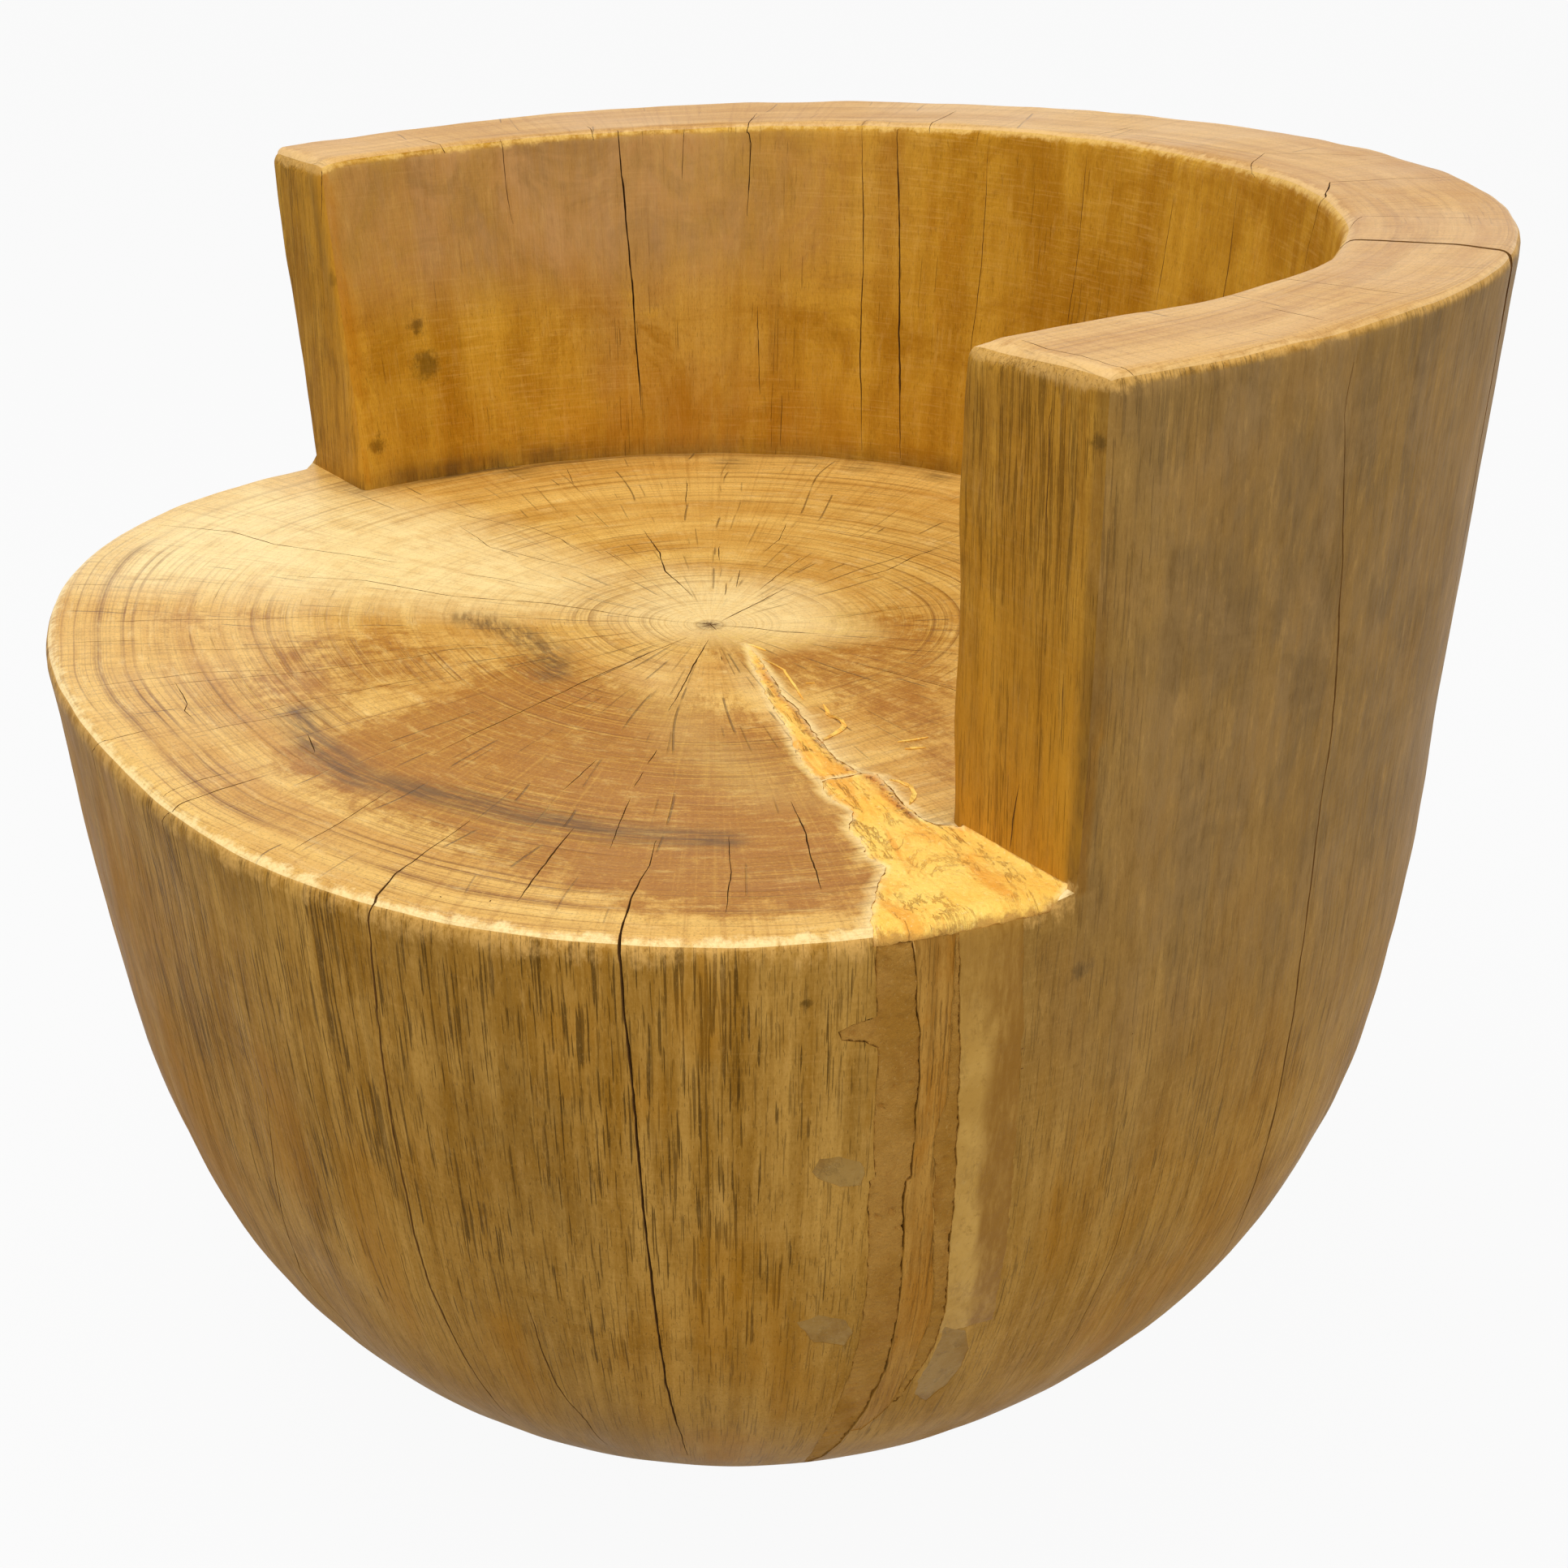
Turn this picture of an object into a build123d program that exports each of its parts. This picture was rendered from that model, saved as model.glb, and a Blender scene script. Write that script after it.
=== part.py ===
from build123d import *
import os
from math import atan2, cos, degrees, hypot, radians, sin

os.makedirs("parts", exist_ok=True)

# The chair is carved from one log that stands on its flat sawn foot. The open front faces -Y,
# the grain runs along Z, and the centre of the foot is the origin. Lengths are in millimetres.

# Driving sizes of the log
seat_radius = 330        # mean radius of the log at the seat
seat_height = 386        # floor to seat
back_rise = 188          # seat to the top of the back, measured over the centre of the seat
seat_shift_x = -10       # the log leans a little, so the seat's centre stands off the foot's
seat_shift_y = -17
top_fall = 0.031         # slope of the sawn top, rising to the right
top_pitch = 0.024        # slope of the sawn top, rising to the back
arm_front = 48.5         # how far the flat arm ends stand in front of the seat's centre

# Worn edges
arm_round = 7
foot_round = 4
rim_wear = ((9, -1), (4, 2), (0, 7))     # drop below the seat, then how far in the rim stands there

# Outlines of the uneven log, one radius every 30 degrees from -180, as shares of seat_radius
seat_outline_shares = (1.053, 1.034, 0.948, 0.916, 1.011, 1.101, 1.065, 1.070, 1.070, 1.060, 1.075, 1.090)
top_outline_shares = (1.158, 1.100, 1.030, 1.000, 1.060, 1.100, 1.092, 1.116, 1.112, 1.119, 1.175, 1.208)
seat_hollow_shares = (0.835, 0.856, 0.890, 0.885, 0.847, 0.827, 0.856, 0.862, 0.827, 0.812, 0.835, 0.846)
top_hollow_shares = (0.929, 0.944, 0.950, 0.930, 0.878, 0.850, 0.880, 0.896, 0.877, 0.876, 0.916, 0.940)
outline_step = 30
outline_start = -180

# The bowl below the seat: depth as a share of seat_height, then radius as a share of the seat's
bowl_level_shares = ((1.0, 0.44), (0.90, 0.615), (0.75, 0.785), (0.55, 0.903), (0.30, 0.966), (0.0, 1.0))
foot_roundness_share = 1.02      # the outline turns into a circle of this share towards the foot

# The repaired split under the right arm: depths of its fillings, and what they are
patch_depth = 10
vein_depth = 12
split_depth = 45
split_steps = 4          # straight steps that follow the bowl behind the fillings
spot_depth = 4
split_names = ("side_filler", "wood_sliver", "seam_filler", "smooth_filler")
split_angles = (-20.5, -17.9, -15.7, -15.1, -10.8)
split_low_shares = (0.12, 0.28, 0.34, 0.46)      # lowest place of each, as a share of seat_height
spot_names = ("upper_filler_spot", "lower_filler_spot", "lens_filler_spot")
spot_angles = (-22.7, -22.9, -12.8)
spot_height_shares = (0.73, 0.505, 0.40)
spot_widths = (20, 23, 21)
spot_lengths = (17, 19, 44)
spot_sides = 8

# Plans on the seat, in shares of seat_radius from its centre
patch_left_shares = ((0.63, -0.20), (0.69, -0.225), (0.755, -0.24), (0.815, -0.272), (0.87, -0.28),
                     (0.90, -0.295), (0.936, -0.33), (0.967, -0.36), (1.018, -0.391), (1.20, -0.46),
                     (1.30, -0.46))
patch_right_shares = ((0.73, -0.162), (0.636, -0.146))
patch_arm_share = 0.785
cut_reach_share = 1.3    # cuts that come from outside start this far out
vein_shares = ((0.167, -0.015), (0.242, -0.055), (0.336, -0.094), (0.43, -0.122), (0.515, -0.146),
               (0.58, -0.175), (0.63, -0.20), (0.636, -0.146), (0.515, -0.115), (0.43, -0.096),
               (0.336, -0.070), (0.242, -0.038))

# Drying checks: how wide and deep they have opened
check_width = 2
seat_check_width = 1.4
check_depth = 14
through_check_width = 3
through_check_angle = 36
through_check_low_share = 0.1
# In the outside: lowest and highest place of each, as shares of seat_height
bowl_check_angles = (-52.0, -35.2, -69.5, -43.0, 0.5, 14.5, -91.0)
bowl_check_shares = ((0.29, 1.02), (0.26, 1.02), (0.32, 0.66), (0.29, 0.50), (0.29, 0.62), (0.33, 1.60),
                     (0.80, 1.02))
# In the hollow: lowest and highest place of each, as shares of back_rise
hollow_check_angles = (155.0, 129.0, 124.5, 77.0, 60.0)
hollow_check_shares = ((0.10, 1.20), (0.02, 1.20), (0.02, 1.20), (0.35, 1.20), (0.40, 1.20))
# In the seat: plan points of each, as shares of seat_radius
seat_check_shares = (((0.07, -0.012), (-0.445, -0.412)), ((0.07, -0.012), (0.0, 0.20)),
                     ((-0.39, 0.14), (-0.05, 0.02)), ((0.10, -0.05), (0.31, -0.23)),
                     ((0.09, -0.035), (0.345, -0.63)), ((0.035, -0.90), (0.015, -0.78)),
                     ((0.25, -0.88), (0.206, -0.69)), ((0.70, -0.88), (0.50, -0.615)),
                     ((0.74, -0.69), (0.42, -0.40)), ((0.93, -0.67), (0.69, -0.485)),
                     ((0.87, -0.49), (0.73, -0.40)))


def outline_share(shares, angle):
    place = ((angle - outline_start) / outline_step) % len(shares)
    first = int(place)
    rest = place - first
    return shares[first] * (1 - rest) + shares[(first + 1) % len(shares)] * rest


def blend(first, second, part_share):
    return tuple(a + part_share * (b - a) for a, b in zip(first, second))


def ring_points(shares, scale, centre):
    points = []
    for index, share in enumerate(shares):
        angle = radians(outline_start + outline_step * index)
        points.append((centre[0] + share * scale * cos(angle), centre[1] + share * scale * sin(angle)))
    return points


def bowl_shares(depth):
    round_shares = tuple(foot_roundness_share for share in seat_outline_shares)
    return blend(seat_outline_shares, round_shares, depth * depth)


def bowl_centre(depth):
    return (seat_shift_x * (1 - depth), seat_shift_y * (1 - depth))


def level_radius_share(depth):
    for (lower, small), (upper, large) in zip(bowl_level_shares, bowl_level_shares[1:]):
        if upper <= depth <= lower:
            return small + (large - small) * (lower - depth) / (lower - upper)
    return bowl_level_shares[-1][1]


def log_radius(angle, height):
    # Radius of the log's outside, measured from the upright line through the seat's centre
    depth = (seat_height - height) / seat_height
    if depth <= 0:
        rise = (height - seat_height) / back_rise
        return seat_radius * outline_share(blend(seat_outline_shares, top_outline_shares, rise), angle)
    lean = -depth * (seat_shift_x * cos(radians(angle)) + seat_shift_y * sin(radians(angle)))
    return seat_radius * level_radius_share(depth) * outline_share(bowl_shares(depth), angle) + lean


def hollow_radius(angle, height):
    rise = (height - seat_height) / back_rise
    return seat_radius * outline_share(blend(seat_hollow_shares, top_hollow_shares, rise), angle)


seat_centre = (seat_shift_x, seat_shift_y)
top_height = seat_height + back_rise
top_tilt = top_fall * seat_radius + top_pitch * seat_radius
blank_top = top_height + 2 * top_tilt
blank_rise_share = (blank_top - seat_height) / back_rise
top_plane = Plane(origin=(seat_shift_x, seat_shift_y, top_height), z_dir=(-top_fall, -top_pitch, 1))
block_side = 4 * seat_radius


def seat_level(height):
    # Level plane at a height, with its origin over the seat's centre
    return Plane(origin=(seat_shift_x, seat_shift_y, height))


def radial_plane(angle, height=0):
    # Upright plane through the seat's centre: local x runs outwards and local y upwards
    out = (cos(radians(angle)), sin(radians(angle)), 0)
    across = (sin(radians(angle)), -cos(radians(angle)), 0)
    return Plane(origin=(seat_shift_x, seat_shift_y, height), x_dir=out, z_dir=across)


# The hollow between the arms, from the seat up
with BuildPart() as hollow:
    for rise in (0, 2 * blank_rise_share):
        shares = blend(seat_hollow_shares, top_hollow_shares, rise)
        with BuildSketch(Plane.XY.offset(seat_height + rise * back_rise)):
            with BuildLine():
                Spline(*ring_points(shares, seat_radius, seat_centre), periodic=True)
            make_face()
    loft(ruled=True)

# What wear has taken off the seat's front rim
with BuildPart() as rim_form:
    for drop, inset in rim_wear:
        with BuildSketch(Plane.XY.offset(seat_height - drop)):
            with BuildLine():
                Spline(*ring_points(seat_outline_shares, seat_radius - inset, seat_centre), periodic=True)
            make_face()
    loft(ruled=True)
with BuildPart() as rim_waste:
    with BuildSketch(seat_level(seat_height - rim_wear[0][0])):
        with Locations((0, -arm_front - block_side / 2)):
            Rectangle(block_side, block_side)
    extrude(amount=rim_wear[0][0])
    add(rim_form.part, mode=Mode.SUBTRACT)

# The carved log, still whole
with BuildPart() as log:
    for depth, share in bowl_level_shares:
        with BuildSketch(Plane.XY.offset(seat_height * (1 - depth))):
            with BuildLine():
                level_points = ring_points(bowl_shares(depth), seat_radius * share, bowl_centre(depth))
                Spline(*level_points, periodic=True)
            make_face()
    with BuildSketch(Plane.XY.offset(blank_top)):
        with BuildLine():
            top_shares = blend(seat_outline_shares, top_outline_shares, blank_rise_share)
            Spline(*ring_points(top_shares, seat_radius, seat_centre), periodic=True)
        make_face()
    loft()
    with BuildSketch(top_plane):
        Rectangle(block_side, block_side)
    extrude(amount=block_side, mode=Mode.SUBTRACT)
    add(hollow.part, mode=Mode.SUBTRACT)
    with BuildSketch(seat_level(seat_height)):
        with Locations((0, -arm_front - block_side / 2)):
            Rectangle(block_side, block_side)
    extrude(amount=block_side, mode=Mode.SUBTRACT)
    boxes = [(edge, edge.bounding_box()) for edge in log.edges()]
    top_edges = [edge for edge, box in boxes if box.min.Z > top_height - 2 * top_tilt]
    arm_edges = [edge for edge, box in boxes if box.size.Z > back_rise / 2 and box.size.Y < arm_round]
    fillet(top_edges + arm_edges, arm_round)
    fillet(log.edges().group_by(Axis.Z)[0], foot_round)
    add(rim_waste.part, mode=Mode.SUBTRACT)


# The plan of the golden filler on the seat: its left edge, then its right edge back along the arm
patch_points = [(x * seat_radius, y * seat_radius) for x, y in patch_left_shares]
patch_points.append((cut_reach_share * seat_radius, -arm_front))
patch_points.append((patch_arm_share * seat_radius, -arm_front))
patch_points += [(x * seat_radius, y * seat_radius) for x, y in patch_right_shares]
vein_points = [(x * seat_radius, y * seat_radius) for x, y in vein_shares]


def seat_inlay(points, depth):
    # A prism with upright sides, from depth below the seat to past it
    with BuildPart() as prism:
        with BuildSketch(seat_level(seat_height - depth)):
            with BuildLine():
                Polyline(*points, close=True)
            make_face()
        extrude(amount=depth + arm_round)
    return prism.part


def split_wedge(first_angle, second_angle, low):
    # One slice of the long split, between two radial planes, from low up to the seat's filler
    high = seat_height - patch_depth
    heights = [low + (high - low) * step / split_steps for step in range(split_steps + 1)]
    middle = (first_angle + second_angle) / 2
    backs = [(log_radius(middle, height) - split_depth, height) for height in heights]
    reach = cut_reach_share * seat_radius
    mouth = [(reach * cos(radians(a)), reach * sin(radians(a))) for a in (first_angle, second_angle)]
    with BuildPart() as wedge:
        with BuildSketch(seat_level(low)):
            with BuildLine():
                Polyline((0, 0), *mouth, close=True)
            make_face()
        extrude(amount=high - low)
        with BuildSketch(radial_plane(middle)):
            with BuildLine():
                Polyline(*backs, (reach, high), (reach, low), close=True)
            make_face()
        extrude(amount=seat_radius / 2, both=True, mode=Mode.INTERSECT)
    return wedge.part


def spot_cutter(angle, height, width, length):
    # A prism, square to the log's side, that goes spot_depth under the surface
    rise = length / 2
    slope = degrees(atan2(log_radius(angle, height + rise) - log_radius(angle, height - rise), length))
    side = radial_plane(angle)
    place = Plane(origin=side.from_local_coords((log_radius(angle, height), height, 0)), x_dir=side.z_dir,
                  z_dir=side.x_dir * cos(radians(slope)) - side.y_dir * sin(radians(slope)))
    corners = [radians(360 / spot_sides * (step + 0.5)) for step in range(spot_sides)]
    with BuildPart() as spot:
        with BuildSketch(place.offset(-spot_depth)):
            with BuildLine():
                Polyline(*[(width / 2 * cos(a), rise * sin(a)) for a in corners], close=True)
            make_face()
        extrude(amount=2 * spot_depth)
    return spot.part


def inner_part(cutter, name):
    # What the cutter takes out of the whole log, as a piece of its own
    with BuildPart() as piece:
        add(log.part)
        add(cutter, mode=Mode.INTERSECT)
    piece.part.label = name
    export_step(piece.part, "parts/" + name + ".step")
    print(name, len(piece.part.solids()), "solid", round(piece.part.volume), "mm3")


def upright_check(angle, low, high, inner_side):
    # A drying check in the side of the log, or of the hollow, as a thin upright slot
    heights = [low + (high - low) * step / split_steps for step in range(split_steps + 1)]
    if inner_side:
        line = [(hollow_radius(angle, height) + check_depth, height) for height in heights]
        beyond = hollow_radius(angle, low) - check_depth
    else:
        line = [(log_radius(angle, height) - check_depth, height) for height in heights]
        beyond = cut_reach_share * seat_radius
    with BuildPart() as slot:
        with BuildSketch(radial_plane(angle)):
            with BuildLine():
                Polyline(*line, (beyond, high), (beyond, low), close=True)
            make_face()
        extrude(amount=check_width / 2, both=True)
    return slot.part


def seat_check(start, end):
    # A drying check in the seat, from one plan point to another
    start_x, start_y, end_x, end_y = (value * seat_radius for value in (*start, *end))
    length = hypot(end_x - start_x, end_y - start_y)
    turn = degrees(atan2(end_y - start_y, end_x - start_x))
    with BuildPart() as slot:
        with BuildSketch(seat_level(seat_height - check_depth)):
            with Locations(((start_x + end_x) / 2, (start_y + end_y) / 2)):
                Rectangle(length, seat_check_width, rotation=turn)
        extrude(amount=check_depth + arm_round)
    return slot.part


# The fillings of the split, all cut from the whole log so that they end flush with it
cutters = {
    "seat_filler": seat_inlay(patch_points, patch_depth),
    "vein_filler": seat_inlay(vein_points, vein_depth),
}
for index, name in enumerate(split_names):
    low = split_low_shares[index] * seat_height
    cutters[name] = split_wedge(split_angles[index], split_angles[index + 1], low)
for index, name in enumerate(spot_names):
    height = spot_height_shares[index] * seat_height
    cutters[name] = spot_cutter(spot_angles[index], height, spot_widths[index], spot_lengths[index])
for name, cutter in cutters.items():
    inner_part(cutter, name)

# The trunk: the log without its fillings, and with its drying checks
with BuildPart() as trunk:
    add(log.part)
    for cutter in cutters.values():
        add(cutter, mode=Mode.SUBTRACT)
    for angle, shares in zip(bowl_check_angles, bowl_check_shares):
        low, high = (share * seat_height for share in shares)
        add(upright_check(angle, low, high, False), mode=Mode.SUBTRACT)
    for angle, shares in zip(hollow_check_angles, hollow_check_shares):
        low, high = (seat_height + share * back_rise for share in shares)
        add(upright_check(angle, low, high, True), mode=Mode.SUBTRACT)
    for start, end in seat_check_shares:
        add(seat_check(start, end), mode=Mode.SUBTRACT)
    # The one check that has opened right through the back
    with BuildSketch(radial_plane(through_check_angle, seat_height + through_check_low_share * back_rise)):
        with Locations((seat_radius, back_rise)):
            Rectangle(seat_radius, 2 * back_rise)
    extrude(amount=through_check_width / 2, both=True, mode=Mode.SUBTRACT)
trunk.part.label = "trunk"
export_step(trunk.part, "parts/trunk.step")
print("trunk", len(trunk.part.solids()), "solid", round(trunk.part.volume), "mm3, valid", trunk.part.is_valid)
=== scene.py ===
from math import atan2, cos, degrees, hypot, pi, radians, sin

import bmesh
import bpy
import numpy as np
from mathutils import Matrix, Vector, noise
from mathutils.bvhtree import BVHTree


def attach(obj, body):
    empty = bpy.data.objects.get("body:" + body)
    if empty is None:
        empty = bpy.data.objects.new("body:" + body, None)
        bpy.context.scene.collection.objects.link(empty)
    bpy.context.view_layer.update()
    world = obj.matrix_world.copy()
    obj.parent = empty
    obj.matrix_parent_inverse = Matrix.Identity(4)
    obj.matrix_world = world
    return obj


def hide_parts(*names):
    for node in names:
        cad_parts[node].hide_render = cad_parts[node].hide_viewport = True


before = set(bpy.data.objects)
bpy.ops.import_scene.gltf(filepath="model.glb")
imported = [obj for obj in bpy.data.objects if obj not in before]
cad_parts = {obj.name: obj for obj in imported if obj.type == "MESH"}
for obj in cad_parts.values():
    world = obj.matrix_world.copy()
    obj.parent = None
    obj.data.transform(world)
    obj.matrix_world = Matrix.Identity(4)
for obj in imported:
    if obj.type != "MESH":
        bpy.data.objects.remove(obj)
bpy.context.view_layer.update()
noise.seed_set(1)     # otherwise noise_vector differs from run to run
print("frame loaded")

# Camera at the photograph's place, looking a little down into the seat
camera = {
    "place": (1.0125, -0.6353, 0.8030),
    "turn": (66.913, 0.090, 56.745),     # degrees
    "lens": 59.53,
    "shift": (0.0015, 0.0002),
}


def addCamera():
    bpy.ops.object.select_all(action="DESELECT")
    bpy.ops.object.camera_add(location=camera["place"], rotation=[radians(a) for a in camera["turn"]])
    lens = bpy.context.object.data
    lens.lens = camera["lens"]
    lens.sensor_width = 36
    lens.sensor_fit = "HORIZONTAL"
    lens.shift_x, lens.shift_y = camera["shift"]
    lens.dof.use_dof = False
    bpy.context.scene.camera = bpy.context.object


addCamera()
print("camera set")

# The log: radii every 30 degrees from -180, round the seat's centre, as shares of seatRadius
log = {
    "seatRadius": 0.330, "seatHeight": 0.386, "backRise": 0.188, "armFront": 0.0485,
    "seatCentre": (-0.010, -0.017), "pith": (0.013, -0.022), "topFall": 0.031, "topPitch": 0.024,
    "seatOutline": (1.053, 1.034, 0.948, 0.916, 1.011, 1.101, 1.065, 1.070, 1.070, 1.060, 1.075, 1.090),
    "topOutline": (1.158, 1.100, 1.030, 1.000, 1.060, 1.100, 1.092, 1.116, 1.112, 1.119, 1.175, 1.208),
    "seatHollow": (0.835, 0.856, 0.890, 0.885, 0.842, 0.815, 0.846, 0.862, 0.827, 0.812, 0.835, 0.846),
    "topHollow": (0.929, 0.944, 0.950, 0.930, 0.870, 0.828, 0.856, 0.896, 0.877, 0.876, 0.916, 0.940),
    "bowlLevels": ((1.0, 0.44), (0.90, 0.615), (0.75, 0.785), (0.55, 0.903), (0.30, 0.966), (0.0, 1.0)),
    "footRoundness": 1.02,
}
seatRadius, seatHeight, backRise = log["seatRadius"], log["seatHeight"], log["backRise"]
pith = np.array(log["pith"])
seatCentre = np.array(log["seatCentre"])
armLine = seatCentre[1] - log["armFront"]
bearings = np.radians(np.arange(-180, 180, 1.0))
heightStep = 0.004
heights = np.arange(0, 0.64, heightStep)


def throughRing(radii, angles):
    # Smooth closed curve through one radius every 30 degrees
    count = len(radii)
    system = 4 * np.eye(count) + np.roll(np.eye(count), 1, 0) + np.roll(np.eye(count), -1, 0)
    bend = np.linalg.solve(system, 6 * (np.roll(radii, -1) - 2 * radii + np.roll(radii, 1)))
    place = (np.degrees(angles) + 180) / 30 % count
    low = place.astype(int) % count
    high = (low + 1) % count
    t = place - np.floor(place)
    s = 1 - t
    return s * radii[low] + t * radii[high] + (s**3 - s) * bend[low] / 6 + (t**3 - t) * bend[high] / 6


def throughLevels(levels, radii, height):
    # Smooth upright curve through the rings, one radius for each direction
    slopes = np.gradient(radii, levels, axis=0)
    low = int(np.clip(np.searchsorted(levels, height) - 1, 0, len(levels) - 2))
    span = levels[low + 1] - levels[low]
    t = (height - levels[low]) / span
    return ((1 + 2 * t) * (1 - t)**2 * radii[low] + t * (1 - t)**2 * span * slopes[low]
            + t * t * (3 - 2 * t) * radii[low + 1] + t * t * (t - 1) * span * slopes[low + 1])


def reachTable(levels, radii, leans):
    # How far the surface is from the pith's upright line, for each height and bearing
    table = []
    around = np.radians(np.arange(-180, 180, 0.5))
    for height in heights:
        ring = throughRing(throughLevels(levels, radii, height), around)
        lean = max(1 - height / seatHeight, 0) if leans else 0
        plan = np.stack([ring * np.cos(around), ring * np.sin(around)], 1) + seatCentre * (1 - lean) - pith
        angle = np.arctan2(plan[:, 1], plan[:, 0])
        order = np.argsort(angle)
        far = np.hypot(plan[:, 0], plan[:, 1])
        table.append(np.interp(bearings, angle[order], far[order], period=2 * pi))
    return np.array(table)


def outsideLevels():
    levels, radii = [], []
    for depth, share in log["bowlLevels"]:
        outline = np.array(log["seatOutline"])
        outline = outline + (log["footRoundness"] - outline) * depth * depth
        levels.append(seatHeight * (1 - depth))
        radii.append(seatRadius * share * outline)
    seat, top = np.array(log["seatOutline"]), np.array(log["topOutline"])
    for rise in (1, 2):
        outline = seat + rise * (top - seat)
        levels.append(seatHeight + rise * backRise)
        radii.append(seatRadius * outline)
    return np.array(levels), np.array(radii)


def hollowLevels():
    seat, top = np.array(log["seatHollow"]), np.array(log["topHollow"])
    rises = (-3, 0, 1, 2)
    levels = [seatHeight + rise * backRise for rise in rises]
    return np.array(levels), np.array([seatRadius * (seat + max(rise, 0) * (top - seat)) for rise in rises])


outsideTable = reachTable(*outsideLevels(), True)
hollowTable = reachTable(*hollowLevels(), False)


def reach(table, bearing, height):
    # Looks a radius up between the table's rows and columns
    row = np.clip(height / heightStep, 0, len(heights) - 1.001)
    column = np.degrees(bearing) + 180
    low, left = row.astype(int), np.floor(column).astype(int)
    s, t = row - low, column - np.floor(column)
    left, right = left % 360, (left + 1) % 360
    return ((1 - s) * ((1 - t) * table[low, left] + t * table[low, right])
            + s * ((1 - t) * table[low + 1, left] + t * table[low + 1, right]))


def topLevel(x, y):
    # Height of the sawn top, which rises a little to the right and to the back
    rise = log["topFall"] * (x - seatCentre[0]) + log["topPitch"] * (y - seatCentre[1])
    return seatHeight + backRise + rise


# The round blank that the log's shape is given to, and how closely it is divided
blank = {
    "columns": 330, "radius": 0.36, "hollowRadius": 0.28, "edgeBand": 0.010, "edgeRows": 3, "bowlRows": 60,
    "wallRows": 29, "topRows": 9, "seatRows": 43, "armColumns": 7, "armRows": 2, "edgeRound": 0.0085,
    "armRound": 0.007, "rimRound": 0.010, "footRound": 0.004, "swell": 0.0010, "swellLength": 0.14,
    "ripple": 0.0004, "rippleLength": 0.022,
}
regions = ("log_side", "seat_grain", "inner_wall", "top_grain", "arm_end", "foot_grain", "check_walls")
step = 360 / blank["columns"]
touch = 1e-4     # lengths this near count as the same
armBearing = radians(-blank["armColumns"] * step)
blankTop = seatHeight + backRise


def selectOnly(*pieces):
    bpy.ops.object.select_all(action="DESELECT")
    for piece in pieces:
        piece.select_set(True)
        bpy.context.view_layer.objects.active = piece


def selectBy(kind, test):
    # Selects the faces or edges that pass a test, in edit mode
    bpy.ops.mesh.select_all(action="DESELECT")
    bpy.ops.mesh.select_mode(type=kind)
    mesh = bmesh.from_edit_mesh(bpy.context.object.data)
    for part in (mesh.faces if kind == "FACE" else mesh.edges):
        if test(part):
            part.select_set(True)
    mesh.select_flush_mode()
    bmesh.update_edit_mesh(bpy.context.object.data)


def ends(edge):
    return [(hypot(v.co.x, v.co.y), degrees(atan2(v.co.y, v.co.x)), v.co.z) for v in edge.verts]


def upright(low, high):
    # Test for edges that stand between two heights
    def test(edge):
        (r1, a1, z1), (r2, a2, z2) = ends(edge)
        between = min(z1, z2) > low - touch and max(z1, z2) < high + touch
        return abs(z1 - z2) > touch and abs(r1 - r2) < touch and between
    return test


def across(inner, outer, height):
    # Test for edges that run outwards between two radii at one height
    def test(edge):
        (r1, a1, z1), (r2, a2, z2) = ends(edge)
        level = abs(z1 - height) < touch and abs(z2 - height) < touch
        return level and abs(min(r1, r2) - inner) < 1e-3 and abs(max(r1, r2) - outer) < 1e-3
    return test


def onWall(face):
    place = face.calc_center_median()
    radius, angle = hypot(place.x, place.y), degrees(atan2(place.y, place.x))
    if radius < blank["hollowRadius"] - touch or face.normal.z < 0.5:
        return False
    edge = blank["armColumns"] * step
    return place.z > seatHeight - touch and (angle > -edge or angle < -180 + edge)


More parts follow.
